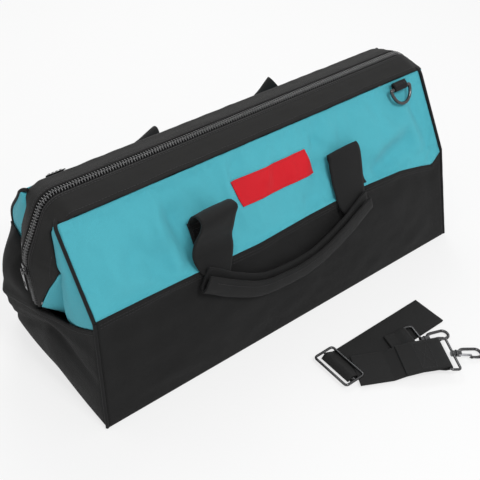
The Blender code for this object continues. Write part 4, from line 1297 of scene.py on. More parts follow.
@dataclass
class MouthPath:
    """The zip line, from the left tip over the top to the right tip."""

    tip_height: float = 0.1270
    knee_length: float = 0.6230
    knee_height: float = 0.2000
    knee_radius: float = 0.0450
    mouth_length: float = 0.5496
    mouth_radius: float = 0.0300
    zip_height: float = 0.2690
    right_bend: Pair = (0.2880, 0.2690)
    right_knee: Pair = (0.3175, 0.2120)
    edge: float = 0.0075
    slopes: tuple[Pair, ...] = (
        (0.1270, 0.26), (0.2030, 0.46), (0.2200, 0.34), (0.2350, 0.22), (0.2500, 0.08), (0.2580, 0.12),
        (0.2655, 0.26))
    widths: tuple[Pair, ...] = (
        (0.1270, 0.0110), (0.1650, 0.0305), (0.1860, 0.0430), (0.2030, 0.0485), (0.2150, 0.0430),
        (0.2310, 0.0365), (0.2430, 0.0300), (0.2490, 0.0335), (0.2520, 0.0360), (0.2580, 0.0390),
        (0.2620, 0.0400), (0.2690, 0.0425))

    def line(self, count: int) -> tuple[np.ndarray, np.ndarray]:
        """Return evenly spaced points and outward normals on the path.

        Args:
            count: How many.

        Returns:
            Points and normals, each count by 2, as X and Z.
        """
        tip = (-self.knee_length / 2, self.tip_height)
        knee = (-self.knee_length / 2, self.knee_height)
        bend = (-self.mouth_length / 2, self.zip_height)
        corners = [tip, knee, bend, self.right_bend, self.right_knee, (-tip[0], tip[1])]
        radii = [self.knee_radius, self.mouth_radius, self.mouth_radius, self.knee_radius]
        points = even_path(rounded_line(corners, radii), count)
        tangents = np.gradient(points, axis=0)
        tangents /= np.linalg.norm(tangents, axis=1, keepdims=True)
        return points, np.stack([-tangents[:, 1], tangents[:, 0]], axis=1)

    def half_width(self, height: float) -> float:
        """Return the band's half width at a height on the path."""
        heights, widths = zip(*self.widths)
        return float(np.interp(height, heights, widths))

    def drop(self, across: float, height: float) -> float:
        """Return how far the band's face lies under the zip line."""
        heights, slopes = zip(*self.slopes)
        return float(np.interp(height, heights, slopes)) * max(across - self.edge, 0.0)

    def place(self, point: np.ndarray, normal: np.ndarray, across: float, depth: float,
              side: int) -> np.ndarray:
        """Return a point beside the path."""
        under = point - normal * depth
        return np.array((under[0], side * across, under[1]))

    def at_height(self, height: float, end: int) -> tuple[np.ndarray, np.ndarray]:
        """Return the path's station at a height on one of its ends.

        Args:
            height: Height over the floor.
            end: LEFT or RIGHT.

        Returns:
            The point and its outward normal.
        """
        points, normals = self.line(800)
        if end == RIGHT:
            points, normals = points[::-1], normals[::-1]
        half = len(points) // 2
        index = min(int(np.searchsorted(points[:half, 1], height)), half - 1)
        return points[index], normals[index]


PATH = MouthPath()


@dataclass
class MouthHalf(Half):
    """One half of the mouth: its band, zip tape, coil teeth and stitching."""

    stations: int = 330
    band_columns: int = 15
    band_thick: float = 0.0020
    sleeve_offset: float = 0.0200
    sleeve_bulge: float = 0.0003
    sleeve_width: float = 0.0048
    sleeve_room: Pair = (0.020, 0.034)
    width_wave: float = 0.0010
    edge_turn: float = 0.0009
    zip_turn: float = 0.0006
    face_wave: float = 0.0006
    edge_wave: float = 0.0007
    stitch_offsets: Triple = (0.0022, 0.0048, 0.0300)
    stitch_room: float = 0.0040
    stitch_lift: float = 0.0002
    tape_thick: float = 0.0008
    tape_under: float = 0.0027
    tape_reach: float = 0.0145
    tape_inset: float = 0.0024
    tape_columns: Triple = (0.0003, 0.0024, 0.0048)
    wire_top: float = 0.2600
    wire_ease: Pair = (0.15, 0.27)
    tooth_pitch: float = 0.0036
    tooth_radius: float = 0.00056
    tooth_lean: float = 0.30
    tooth: tuple[Pair, ...] = (
        (0.0043, 0.0020), (0.0045, 0.0007), (0.0037, -0.0003), (0.0018, -0.0005),
        (0.0002, -0.0003), (-0.0006, 0.0006), (-0.0002, 0.0016), (0.0020, 0.0020))

    def band_point(self, point: np.ndarray, normal: np.ndarray, share: float, along: float) -> np.ndarray:
        """Return a point on the band's outer face.

        Args:
            point: The path's point.
            normal: Its normal.
            share: 0 at the zip edge, 1 at the outer edge.
            along: Distance along the path.

        Returns:
            The point.
        """
        width = PATH.half_width(point[1]) + self.width_wave * ripple(along, 0.0, 0.045, 2.0 + self.side)
        across = mix(PATH.edge, width, share)
        depth = PATH.drop(across, point[1])
        room = float(smooth(*self.sleeve_room, width))
        off = (across - self.sleeve_offset) / self.sleeve_width
        depth -= self.sleeve_bulge * room * math.exp(-off ** 2)
        edge, zip_edge = float(smooth(0.86, 1.0, share)), float(smooth(0.10, 0.0, share))
        depth += self.edge_turn * edge + self.zip_turn * zip_edge
        depth += self.face_wave * ripple(along, across, 0.030, 6.0 * self.side) * math.sin(math.pi * share)
        depth -= self.edge_wave * ripple(along, 0.0, 0.017, 15.0 * self.side) * float(smooth(0.5, 1.0, share))
        return PATH.place(point, normal, across, depth, self.side)

    def walk(self) -> list[tuple[np.ndarray, np.ndarray, float]]:
        """Return the path's stations.

        Returns:
            Each one's point, outward normal and distance along the path.
        """
        points, normals = PATH.line(self.stations)
        length = line_length(points)
        return [(point, normal, length * step / (self.stations - 1))
                for step, (point, normal) in enumerate(zip(points, normals))]

    def band(self) -> Piece:
        """Build the band.

        Returns:
            The band.
        """
        grid = np.array([[self.band_point(point, normal, share, along)
                          for share in np.linspace(0, 1, self.band_columns)]
                         for point, normal, along in self.walk()])
        band = make_sheet(f"{self.label}_band", grid, (0, 0, 1), self.band_thick, BAND_NYLON)
        declare_sheet(band, [grid])
        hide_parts(f"{self.label}_mouth_band")
        return band

    def stitching(self) -> Piece:
        """Build the stitch lines beside the zip and along the wire's sleeve.

        Returns:
            The stitches.
        """
        lines = []
        for offset in self.stitch_offsets:
            line = []
            for point, normal, along in self.walk():
                width = PATH.half_width(point[1]) - PATH.edge
                if width < offset + self.stitch_room:
                    continue
                place = self.band_point(point, normal, offset / width, along)
                line.append(place + np.array((normal[0], 0, normal[1])) * self.stitch_lift)
            lines.append(np.array(line))
        return stitch(f"{self.label}_band_stitching", lines)

    def tape(self) -> Piece:
        """Build the woven tape that carries the coil.

        Returns:
            The tape.
        """
        lines = []
        for point, normal, _ in self.walk():
            outer = min(self.tape_reach, PATH.half_width(point[1]) - self.tape_inset)
            line = []
            for across in (*self.tape_columns, PATH.edge, outer):
                depth = PATH.drop(across, point[1]) + self.tape_under
                line.append(PATH.place(point, normal, across, depth, self.side))
            lines.append(line)
        grid = np.array(lines)
        tape = make_sheet(f"{self.label}_tape", grid, (0, 0, 1), self.tape_thick, ZIP_TAPE)
        declare_sheet(tape, [grid])
        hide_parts(f"{self.label}_zip_tape")
        return tape

    def teeth(self) -> Piece:
        """Build the coil's turns, which mesh with the other half's.

        Returns:
            The coil.
        """
        fine, normals = PATH.line(1600)
        count = int(line_length(fine) / self.tooth_pitch)
        shift = 0.25 if self.side == FRONT else 0.75
        bm = bmesh.new()
        for tooth in range(count):
            spine = []
            for step, (across, depth) in enumerate(self.tooth):
                lean = (step / (len(self.tooth) - 1) - 0.5) * self.tooth_lean
                place = (tooth + shift + lean) / count * (len(fine) - 1)
                index = int(min(max(place, 0), len(fine) - 1))
                spine.append(PATH.place(fine[index], normals[index], across, depth, self.side))
            add_tube(bm, np.array(spine), self.tooth_radius, 6)
        coil = finish_bmesh(f"{self.label}_coil_teeth", bm, COIL, 60.0)
        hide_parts(f"{self.label}_zip_coil")
        return coil

    def wire(self) -> Piece:
        """Build the steel wire under the band, its right end eased out as the band is.

        Returns:
            The wire.
        """
        name = f"{self.label}_wire_frame"
        heights = np.linspace(PATH.tip_height, self.wire_top, 24)
        eases = [PATH.at_height(height, RIGHT)[0][0] + PATH.at_height(height, LEFT)[0][0]
                 for height in heights]
        bm = bmesh.new()
        bm.from_mesh(bpy.data.objects[name].data)
        bmesh.ops.remove_doubles(bm, verts=bm.verts, dist=FINE_WELD)
        for vertex in bm.verts:
            ease = float(np.interp(vertex.co.z, heights, eases))
            vertex.co.x += ease * float(smooth(*self.wire_ease, vertex.co.x))
        wire = finish_bmesh(f"{self.label}_steel_wire", bm, STEEL, 50.0)
        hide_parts(name)
        return wire

    def build(self) -> None:
        """Build and dress this half."""
        pieces = [self.band(), self.stitching(), self.tape(), self.teeth(), self.wire()]
        place_ride(f"{self.label}_mouth", *pieces)


# Corners


def blend_panel(obj: Piece, label: str) -> None:
    """Bake a piece's place into its mesh."""
    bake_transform(obj)


def make_cord(name: str, path: np.ndarray) -> Piece:
    """Make a length of the corners' piping along a path.

    Args:
        name: The piece's name.
        path: Points by 3.

    Returns:
        The piping.
    """
    bm = bmesh.new()
    add_tube(bm, path, BAG.piping, 12)
    bmesh.ops.recalc_face_normals(bm, faces=bm.faces)
    return finish_bmesh(name, bm, PIPING)


@dataclass
class Corner(Half):
    """A corner of the bag: its piping and the folded gusset beside it."""

    end_label: str
    rows: int = 54
    outer_columns: int = 18
    inner_columns: int = 20
    foot_height: float = 0.1180
    low_heights: Pair = (0.1480, 0.1380)
    low_pull: Pair = (0.0040, 0.0020)
    seat: Pair = (0.0006, -0.0028)
    swell: float = 0.0022
    wave: float = 0.0018
    band_lap: float = 0.0004
    under_band: Pair = (0.0022, 0.0085)
    tuck_under: float = 0.0080
    least_tuck: float = 0.0040
    fold_top: float = 0.60
    fold_depth: float = 0.0120
    fold_wave: float = 0.0012
    crease_bow: float = 0.0065
    pleat: Pair = (-0.0060, 0.0080)
    piping_foot: float = 0.0030
    piping_inset: float = 0.0006
    piping_wobble: float = 0.0003
    cord_gap: float = 0.0004
    piping_top: float = 0.2490
    piping_hook: tuple[Triple, ...] = (
        (0.2826, 0.0430, 0.2545), (0.2805, 0.0395, 0.2570), (0.2775, 0.0350, 0.2578))

    @property
    def end(self) -> int:
        """Return LEFT or RIGHT."""
        return ENDS[self.end_label]

    def gusset_grid(self) -> np.ndarray:
        """Return the gusset's face, from the piping over its fold to the band.

        Returns:
            Rows by columns by 3.
        """
        highest = BAG.rim_height - BAG.lining
        lean = (BAG.seam_width - BAG.rim_width) / 2 / (BAG.rim_height - BAG.seam_height)
        foot = np.array(LIP.foot)
        lines = []
        for share in np.linspace(0, 1, self.rows):
            point, normal = PATH.at_height(mix(PATH.tip_height, highest, share), self.end)
            height = mix(self.foot_height, BAG.rim_height, share ** 0.9)
            half_length, half_width = BAG.corner(height)
            low = float(smooth(*self.low_heights, height))
            puff = BAG.puff(self.end * half_length, height, self.side)
            piping = np.array((half_length + self.seat[0] - self.low_pull[0] * low,
                               half_width + puff + self.seat[1] - self.low_pull[1] * low, height))
            width = PATH.half_width(point[1]) + self.band_lap
            drop = PATH.drop(width, point[1])
            edge = PATH.place(point, normal, width, drop + self.under_band[0], 1)
            inner = max(width - self.tuck_under, self.least_tuck)
            under = PATH.place(point, normal, inner, drop + self.under_band[1], 1)
            edge[0] = abs(edge[0])
            under[0] = abs(under[0])
            near = max(1 - share / self.fold_top, 0.0)
            crease = mix(edge, foot, near)
            crease[1] += self.crease_bow * math.sin(math.pi * near)
            line = []
            for t in np.linspace(0, 1, self.outer_columns):
                spot = mix(piping, crease, t)
                swell = math.sin(math.pi * t) * (1.0 - low)
                spot[0] += self.swell * swell - self.swell * near * float(smooth(0.55, 0.9, t))
                spot[0] += self.wave * swell * ripple(spot[1], height, 0.030, 7.7 * self.end + self.side)
                line.append(spot)
            pleat = np.array((self.pleat[0], self.pleat[1] * lean, 0.0)) * float(smooth(0.0, 0.25, near))
            pleat = crease + pleat
            for t in np.linspace(0, 1, self.inner_columns)[1:]:
                spot = mix(pleat, edge, t)
                deep = self.fold_depth * float(smooth(0.0, 0.5, near))
                hollow = math.sin(math.pi * t) * (1 - t) ** 0.3
                spot[0] -= deep * hollow
                spot[0] += self.fold_wave * hollow * ripple(spot[1], height, 0.024, 3.3 * self.end)
                line.append(spot)
            line.append(mix(edge, under, 0.5))
            line.append(under)
            lines.append([(self.end * p[0], self.side * p[1], p[2]) for p in line])
        return np.array(lines)

    def gusset(self) -> None:
        """Build and dress the gusset."""
        grid = self.gusset_grid()
        obj = make_sheet(f"{self.label}_{self.end_label}_fold", grid, (self.end, self.side * 0.2, 0),
                         BAG.lining, TEAL_NYLON)
        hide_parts(f"{self.label}_{self.end_label}_gusset")
        blend_panel(obj, self.label)
        declare_sheet(obj, [grid])

    def piping(self) -> None:
        """Build the corded piping, in its lower and its upper length."""
        def place(height: float) -> np.ndarray:
            """Return the corner's point at a height.

            Args:
                height: The height over the floor.

            Returns:
                The point.
            """
            half_length, half_width = BAG.corner(height)
            puff = BAG.puff(self.end * half_length, height, self.side)
            out = half_width + puff - self.piping_inset
            return np.array((self.end * half_length, self.side * out, height))

        prefix = f"{self.label}_{self.end_label}"
        low = np.array([place(height) for height in np.linspace(self.piping_foot, BAG.seam_height, 60)])
        wobble = np.array([ripple(z, 0.0, 0.02, 4.0 + self.end) for z in low[:, 2]])
        low[:, 0] += self.piping_wobble * wobble
        lower = make_cord(f"{prefix}_cord_low", low)
        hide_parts(f"{prefix}_lower_piping")
        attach(lower, "bag")
        high = [place(height) for height in np.linspace(BAG.seam_height + self.cord_gap, self.piping_top, 40)]
        high += [np.array((self.end * x, self.side * y, z)) for x, y, z in self.piping_hook]
        upper = make_cord(f"{prefix}_cord_high", smooth_path(high, 70))
        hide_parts(f"{prefix}_upper_piping")
        blend_panel(upper, self.label)

    def build(self) -> None:
        """Build and dress the corner."""
        self.gusset()
        self.piping()


# Handles and patch


# A handle strap is held as its left and its right edge, from its anchor over the fold down to the grip.


def strap_edge(x: float, leans: tuple[float, ...], profile: tuple[Pair, ...]) -> tuple[Triple, ...]:
    """Return a strap edge from its profile."""
    return tuple((x + lean, -out, height) for lean, (out, height) in zip(leans, profile))


FRONT_LEFT_STRAP = (
    strap_edge(-0.1362, (0.0, 0.0, 0.0012, 0.0010, -0.0005, -0.0045, -0.0085, -0.0098, -0.0092, -0.0060,
                        0.0020, 0.0060),
               ((0.0758, 0.2030), (0.0765, 0.2095), (0.0830, 0.2215), (0.0935, 0.2270), (0.1045, 0.2255),
                (0.1072, 0.2170), (0.1015, 0.2000), (0.0975, 0.1850), (0.0965, 0.1700), (0.1030, 0.1560),
                (0.1090, 0.1440), (0.1125, 0.1340))),
    strap_edge(-0.0860, (0.0, 0.0, 0.0, 0.0010, 0.0010, -0.0036, -0.0050, -0.0038, -0.0020, -0.0080,
                        -0.0150, -0.0180),
               ((0.0758, 0.2030), (0.0765, 0.2120), (0.0850, 0.2250), (0.0950, 0.2300), (0.1045, 0.2285),
                (0.1060, 0.2190), (0.1035, 0.2020), (0.0980, 0.1840), (0.0975, 0.1660), (0.1030, 0.1510),
                (0.1090, 0.1390), (0.1130, 0.1280))))
FRONT_RIGHT_STRAP = (
    strap_edge(0.0810, (0.0040, 0.0030, 0.0010, 0.0, 0.0, -0.0020, -0.0030, -0.0035, -0.0030, -0.0015,
                        0.0030, 0.0120),
               ((0.0745, 0.2050), (0.0745, 0.2080), (0.0752, 0.2115), (0.0780, 0.2130), (0.0810, 0.2100),
                (0.0840, 0.2030), (0.0880, 0.1940), (0.0930, 0.1820), (0.0985, 0.1690), (0.1040, 0.1540),
                (0.1085, 0.1420), (0.1125, 0.1300))),
    strap_edge(0.1335, (0.0025, 0.0020, 0.0005, -0.0015, -0.0005, 0.0, -0.0010, -0.0025, -0.0045, -0.0065,
                        -0.0080, -0.0100),
               ((0.0745, 0.2060), (0.0742, 0.2095), (0.0750, 0.2135), (0.0775, 0.2150), (0.0805, 0.2115),
                (0.0840, 0.2040), (0.0880, 0.1945), (0.0930, 0.1820), (0.0985, 0.1690), (0.1045, 0.1540),
                (0.1090, 0.1420), (0.1130, 0.1330))))
REAR_LOW = ((0.0758, 0.2030), (0.0765, 0.2090), (0.0800, 0.2150), (0.0860, 0.2180), (0.0925, 0.2160),
            (0.0965, 0.2080), (0.0985, 0.1960), (0.0990, 0.1820), (0.1010, 0.1670), (0.1060, 0.1530),
            (0.1100, 0.1420), (0.1130, 0.1300))
REAR_HIGH = ((0.0758, 0.2030), (0.0745, 0.2200), (0.0765, 0.2370), (0.0840, 0.2455), (0.0925, 0.2430),
             (0.0985, 0.2310), (0.1000, 0.2120), (0.1000, 0.1900), (0.1015, 0.1700), (0.1060, 0.1530),
             (0.1100, 0.1420), (0.1130, 0.1300))
REAR_LEFT_STRAP = (
    strap_edge(-0.1360, (0.0, 0.0010, 0.0040, 0.0060, 0.0060, 0.0040, 0.0010, 0.0, 0.0, 0.0, 0.0040,
                        0.0060),
               REAR_LOW),
    strap_edge(-0.0860, (0.0, 0.0040, 0.0100, 0.0120, 0.0110, 0.0080, 0.0030, 0.0, 0.0, 0.0, -0.0080,
                        -0.0120),
               tuple((out, mix(low, high, 0.72)) for (_, low), (out, high) in zip(REAR_LOW, REAR_HIGH))))
REAR_RIGHT_STRAP = (
    strap_edge(0.0860, (0.0, -0.0020, -0.0060, -0.0080, -0.0080, -0.0060, -0.0020, 0.0, 0.0, 0.0, 0.0080,
                        0.0120),
               REAR_LOW),
    strap_edge(0.1360, (0.0, -0.0050, -0.0140, -0.0190, -0.0170, -0.0100, -0.0040, 0.0, 0.0, 0.0, -0.0040,
                        -0.0060), REAR_HIGH))


# Points of the grip's section, each with the way it goes when the grip opens at its ends.
GRIP_OUTLINE = (
    (-0.0024, 0.0165, -1), (-0.0028, 0.0085, -1), (-0.0027, 0.0, -1), (-0.0024, -0.0085, -1),
    (-0.0015, -0.0135, 0), (0.0006, -0.0163, 0), (0.0028, -0.0138, 0), (0.0036, -0.0085, 1),
    (0.0038, -0.0020, 1), (0.0036, 0.0040, 1), (0.0030, 0.0088, 1))


@dataclass
class Handle(Half):
    """A carrying handle: two anchors, two folded straps and the grip between them."""

    straps: tuple[tuple[tuple[Triple, ...], tuple[Triple, ...]], ...]
    grip_line: tuple[Triple, ...]
    webbing: float = 0.0021
    anchor_half: float = 0.0250
    anchor_low: float = 0.1600
    anchor_high: float = 0.2050
    anchor_lift: float = 0.0025
    thread_lift: float = 0.0027
    thread_inset: float = 0.0035
    thread_top: float = 0.0060
    thread_box: tuple[Pair, ...] = (
        (-1, 0.05), (-1, 0.95), (1, 0.95), (1, 0.05), (-1, 0.05), (1, 0.95), (1, 0.05), (-1, 0.95))
    mount_blend: tuple[Pair, Pair] = ((0.1016, 0.154), (0.0746, 0.2035))
    handle_blend: tuple[Pair, Pair] = ((0.07462, 0.20365), (0.1000, 0.1700))
    spread: float = 0.111
    columns: int = 15
    rows: int = 90
    cup: float = 0.0009
    strap_wave: float = 0.0003
    grip_tilt: float = 0.75
    grip_wave: float = 0.0006
    grip_open: float = 0.0012
    grip_seams: tuple[int, int] = (21, 14)

    def blend(self, obj: Piece, first: str, second: str, ends: tuple[Pair, Pair]) -> None:
        """Bake a piece's place into its mesh."""
        start, end = ((0.0, self.side * out, height) for out, height in ends)
        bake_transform(obj)
        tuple(start)
        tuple(end)

    def anchor(self, end_label: str, surface: PanelSurface) -> None:
        """Build the sewn end of a strap, flat on the upper panel.

        Args:
            end_label: "left" or "right".
            surface: The panel it is sewn on.
        """
        middle = ENDS[end_label] * self.spread
        grid = point_grid(
            lambda height, across: surface.at(middle + across * self.anchor_half, height, self.anchor_lift),
            np.linspace(self.anchor_low, self.anchor_high, 34), np.linspace(-1, 1, self.columns))
        seated = grid.copy()
        for _ in range(6):
            grid[1:-1, 1:-1] = (grid[1:-1, 1:-1] * 2 + grid[:-2, 1:-1] + grid[2:, 1:-1]
                                + grid[1:-1, :-2] + grid[1:-1, 2:]) / 6
        normal = BAG.normal(self.side)
        grid += np.maximum((seated - grid) @ normal, 0.0)[..., None] * normal
        obj = make_sheet(f"{self.label}_{end_label}_anchor_webbing", grid, (0, self.side, 0),
                         self.webbing, WEBBING)
        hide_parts(f"{self.label}_handle_{end_label}_anchor")
        low = self.anchor_low + self.thread_inset
        high = self.anchor_high - self.thread_top
        corners = [(middle + across * (self.anchor_half - self.thread_inset), mix(low, high, share))
                   for across, share in self.thread_box]
        path = []
        for (x0, z0), (x1, z1) in zip(corners, corners[1:]):
            for share in np.linspace(0, 1, 14)[:-1]:
                path.append(surface.at(mix(x0, x1, share), mix(z0, z1, share), self.thread_lift))
        stitches = stitch(f"{self.label}_{end_label}_anchor_stitching", [np.array(path)])
        for piece in (obj, stitches):
            self.blend(piece, "bag", f"{self.label}_handle_mount", self.mount_blend)
        declare_sheet(obj, [grid])

    def strap(self, end_label: str, shape: tuple[tuple[Triple, ...], ...]) -> None:
        """Build a strap, which folds over and hangs down to the grip.

        Args:
            end_label: "left" or "right".
            shape: Its edges.
        """
        edges = []
        for edge in shape:
            points = np.array(edge)
            points[:, 1] *= -self.side
            edges.append(even_path(smooth_path(points, self.rows * 2), self.rows))
        lines = []
        for row in range(self.rows):
            line = []
            tangent = edges[0][min(row + 1, self.rows - 1)] - edges[0][max(row - 1, 0)]
            across = edges[1][row] - edges[0][row]
            facing = np.cross(tangent, across)
            facing /= max(np.linalg.norm(facing), NOT_ZERO)
            for t in np.linspace(0, 1, self.columns):
                bow = self.cup * math.sin(math.pi * t)
                bow += self.strap_wave * ripple(t * 0.05, row * 0.001, 0.012, 5.1 * self.side + self.spread)
                line.append(mix(edges[0][row], edges[1][row], t) + facing * bow)
            lines.append(line)
        grid = np.array(lines)
        obj = make_sheet(f"{self.label}_{end_label}_strap_webbing", grid, None, self.webbing, WEBBING, 0.0)
        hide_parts(f"{self.label}_handle_{end_label}_strap")
        self.blend(obj, f"{self.label}_handle_mount", f"{self.label}_handle", self.handle_blend)
        declare_sheet(obj, [grid])

    def grip_section(self, opening: float) -> list[Pair]:
        """Return the folded webbing's section, from its back edge round to its front edge.

        Args:
            opening: 0 in the middle of the grip, 1 at its ends.

        Returns:
            Distances out and up from the section's middle.
        """
        out = mix(0.0, self.grip_open, opening)
        return [(across + way * out, up) for across, up, way in GRIP_OUTLINE]

    def grip(self) -> None:
        """Build the grip: the webbing folded lengthwise round the straps' ends, stitched shut."""
        points = np.array(self.grip_line)
        points[:, 1] *= -self.side
        path = even_path(smooth_path(points, 300), 130)
        lines = []
        for row, point in enumerate(path):
            tangent = path[min(row + 1, len(path) - 1)] - path[max(row - 1, 0)]
            tangent[1] = 0.0
            tangent /= np.linalg.norm(tangent)
            up = np.array((-tangent[2] * self.grip_tilt, 0.0, tangent[0]))
            up /= np.linalg.norm(up)
            u = abs(row / (len(path) - 1) * 2 - 1)
            opening = float(smooth(0.72, 0.95, u))
            section = smooth_path(self.grip_section(opening), 25)
            line = []
            for number, (out, rise) in enumerate(section):
                sway = self.grip_wave * ripple(point[0], number * 0.002, 0.018, 3.7 * self.side)
                spot = point + up * rise
                spot[1] += self.side * (out + sway)
                line.append(spot)
            lines.append(line)
        grid = np.array(lines)
        obj = make_sheet(f"{self.label}_grip_webbing", grid, None, self.webbing, WEBBING, 0.0)
        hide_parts(f"{self.label}_handle_grip")
        lift = np.array((0.0, self.side * (self.webbing / 2 + BAG.gap), 0.0))
        seams = [grid[6:-6, column] + lift for column in self.grip_seams]
        stitches = stitch(f"{self.label}_grip_stitching", seams)
        place_ride(f"{self.label}_handle", obj, stitches)
        declare_sheet(obj, [grid])

    def build(self, surface: PanelSurface) -> None:
        """Build and dress the handle.

        Args:
            surface: The panel it is sewn on.
        """
        for end_label, shape in zip(ENDS, self.straps):
            self.anchor(end_label, surface)
            self.strap(end_label, shape)
        self.grip()


FRONT_GRIP_LINE = (
    (-0.1400, -0.1135, 0.1470), (-0.1250, -0.1150, 0.1370), (-0.1050, -0.1175, 0.1235),
    (-0.0680, -0.1210, 0.1035), (-0.0360, -0.1225, 0.0975), (0.0100, -0.1225, 0.0965),
    (0.0470, -0.1215, 0.1045), (0.0860, -0.1190, 0.1215), (0.1060, -0.1165, 0.1315),
    (0.1190, -0.1148, 0.1380), (0.1290, -0.1138, 0.1422))
REAR_GRIP_LINE = (
    (-0.1380, -0.1135, 0.1460), (-0.1240, -0.1150, 0.1380), (-0.1040, -0.1180, 0.1250),
    (-0.0680, -0.1215, 0.1060), (-0.0360, -0.1230, 0.0960), (0.0, -0.1230, 0.0925),
    (0.0360, -0.1230, 0.0960), (0.0680, -0.1215, 0.1060), (0.1040, -0.1180, 0.1250),
    (0.1240, -0.1150, 0.1380), (0.1380, -0.1135, 0.1460))


PATCH_STITCH = StitchLine(0.0020, 0.0010, 0.00022)


@dataclass
class LabelPatch:
    """A plain red patch sewn on the front upper panel, its own face left bare."""

    length: float = 0.1180
    height: float = 0.0300
    centre: float = 0.2110
    slant: float = 0.0060
    thick: float = 0.0010
    lift: float = 0.0018
    thread_lift: float = 0.0019
    hem: float = 0.0022

    def build(self, surface: PanelSurface) -> None:
        """Build and dress the patch.

        Args:
            surface: The panel it is sewn on.
        """
        def spot(u: float, v: float, lift: float) -> np.ndarray:
            """Return a point over the patch, with u and v from -1 to 1."""
            level = self.centre + v * self.height / 2
            return surface.at(u * self.length / 2 - v * self.slant / 2, level, lift)

        grid = point_grid(lambda v, u: spot(u, v, self.lift), np.linspace(-1, 1, 24), np.linspace(-1, 1, 90))
        obj = make_sheet("plain_patch", grid, (0, -1, 0), self.thick, RED_PATCH)
        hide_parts("label_patch")
        u_edge = 1 - self.hem / (self.length / 2)
        v_edge = 1 - self.hem / (self.height / 2)
        places = [(u, -v_edge) for u in np.linspace(-u_edge, u_edge, 50)]
        places += [(u_edge, v) for v in np.linspace(-v_edge, v_edge, 14)[1:]]
        places += [(u, v_edge) for u in np.linspace(u_edge, -u_edge, 50)[1:]]
        places += [(-u_edge, v) for v in np.linspace(v_edge, -v_edge, 14)[1:]]
        loop = [spot(u, v, self.thread_lift) for u, v in places]
        stitches = PATCH_STITCH.build("patch_stitching", [np.array(loop)], RED_THREAD)
        blend_panel(obj, "front")
        blend_panel(stitches, "front")
        declare_sheet(obj, [grid])


# Hardware


class Picked:
    """Edit mode on a piece with some of its points selected, for one with-block."""

    def __init__(self, obj: Piece, test: Callable[[Vector], bool]) -> None:
        """Take the piece and the test that says of a point's place whether it is picked."""
        self.obj = obj
        self.test = test

    def __enter__(self) -> None:
        """Pick the points and go to edit mode."""
        activate(self.obj)
        bpy.context.tool_settings.mesh_select_mode = (True, False, False)
        mesh = self.obj.data
        for items in (mesh.polygons, mesh.edges):
            for item in items:
                item.select = False
        for vertex in mesh.vertices:
            vertex.select = bool(self.test(vertex.co))
        bpy.ops.object.mode_set(mode="EDIT")

    def __exit__(self, *_: object) -> None:
        """Go back to object mode."""
        bpy.ops.object.mode_set(mode="OBJECT")


def everywhere(_: Vector) -> bool:
    """Pick every point."""
    return True


def apply_place(obj: Piece, matrix: Matrix) -> None:
    """Move a piece by a matrix, in its mesh."""
    obj.matrix_world = matrix @ obj.matrix_world
    bpy.ops.object.transform_apply(location=True, rotation=True, scale=True)


def new_primitive(kind: str, place: Triple = ORIGIN, scale: Triple = PLAIN_SCALE, **sizes: float) -> Piece:
    """Add a primitive at its size and place.

    Args:
        kind: "cube", "cylinder", "circle", "plane" or "torus".
        place: Its centre.
        scale: Its scale along each axis.
        **sizes: The operator's own sizes.

    Returns:
        The new piece, scaled in its mesh.
    """
    clear_selection()
    makers = {"cube": bpy.ops.mesh.primitive_cube_add, "cylinder": bpy.ops.mesh.primitive_cylinder_add,
              "circle": bpy.ops.mesh.primitive_circle_add, "plane": bpy.ops.mesh.primitive_plane_add,
              "torus": bpy.ops.mesh.primitive_torus_add}
    makers[kind](location=place, **sizes)
    obj = bpy.context.object
    obj.scale = scale
    bpy.ops.object.transform_apply(location=True, rotation=True, scale=True)
    return obj


def new_box(sizes: Triple, place: Triple) -> Piece:
    """Add a box of three sizes round its centre."""
    return new_primitive("cube", place, sizes, size=1.0)


def swing(obj: Piece, degrees: float, axis: str) -> None:
    """Turn a piece about an axis through the origin, in its mesh."""
    activate(obj)
    apply_place(obj, Matrix.Rotation(math.radians(degrees), 4, axis))


def make_wire(obj: Piece, radius: float) -> Piece:
    """Turn a piece made of bare edges into round wire.

    Args:
        obj: The piece, changed in place.
        radius: The wire's radius.

    Returns:
        The piece.
    """
    activate(obj)
    bpy.ops.object.convert(target="CURVE")
    curve = bpy.context.object.data
    curve.dimensions = "3D"
    curve.bevel_depth = radius
    curve.bevel_resolution = 5
    curve.use_fill_caps = True
    bpy.ops.object.convert(target="MESH")
    return bpy.context.object


def wire_frame(length: float, width: float, place: Triple, bend: float, radius: float) -> Piece:
    """Make a rounded oblong of wire, flat about its centre.

    Args:
        length: Its middle line's length along X.
        width: Its middle line's width along Y.
        place: Its centre.
        bend: The corners' radius.
        radius: The wire's radius.

    Returns:
        The wire.
    """
    edges = new_primitive("plane", place, (length, width, 1.0), size=1.0)
    with Picked(edges, everywhere):
        bpy.ops.mesh.bevel(offset=bend, segments=6, affect="VERTICES")
        bpy.ops.mesh.delete(type="ONLY_FACE")
    return make_wire(edges, radius)


def soften(obj: Piece, width: float, segments: int = 3) -> None:
    """Round a piece's sharp edges with a bevel of a width in some segments."""
    apply_modifier(obj, "BEVEL", width=width, segments=segments, limit_method="ANGLE",
                   angle_limit=SHARP_ANGLE)


def cut_away(obj: Piece, cutter: Piece) -> None:
    """Cut one piece out of another and use it up."""
    apply_modifier(obj, "BOOLEAN", operation="DIFFERENCE", solver="EXACT", object=cutter)
    bpy.data.objects.remove(cutter, do_unlink=True)


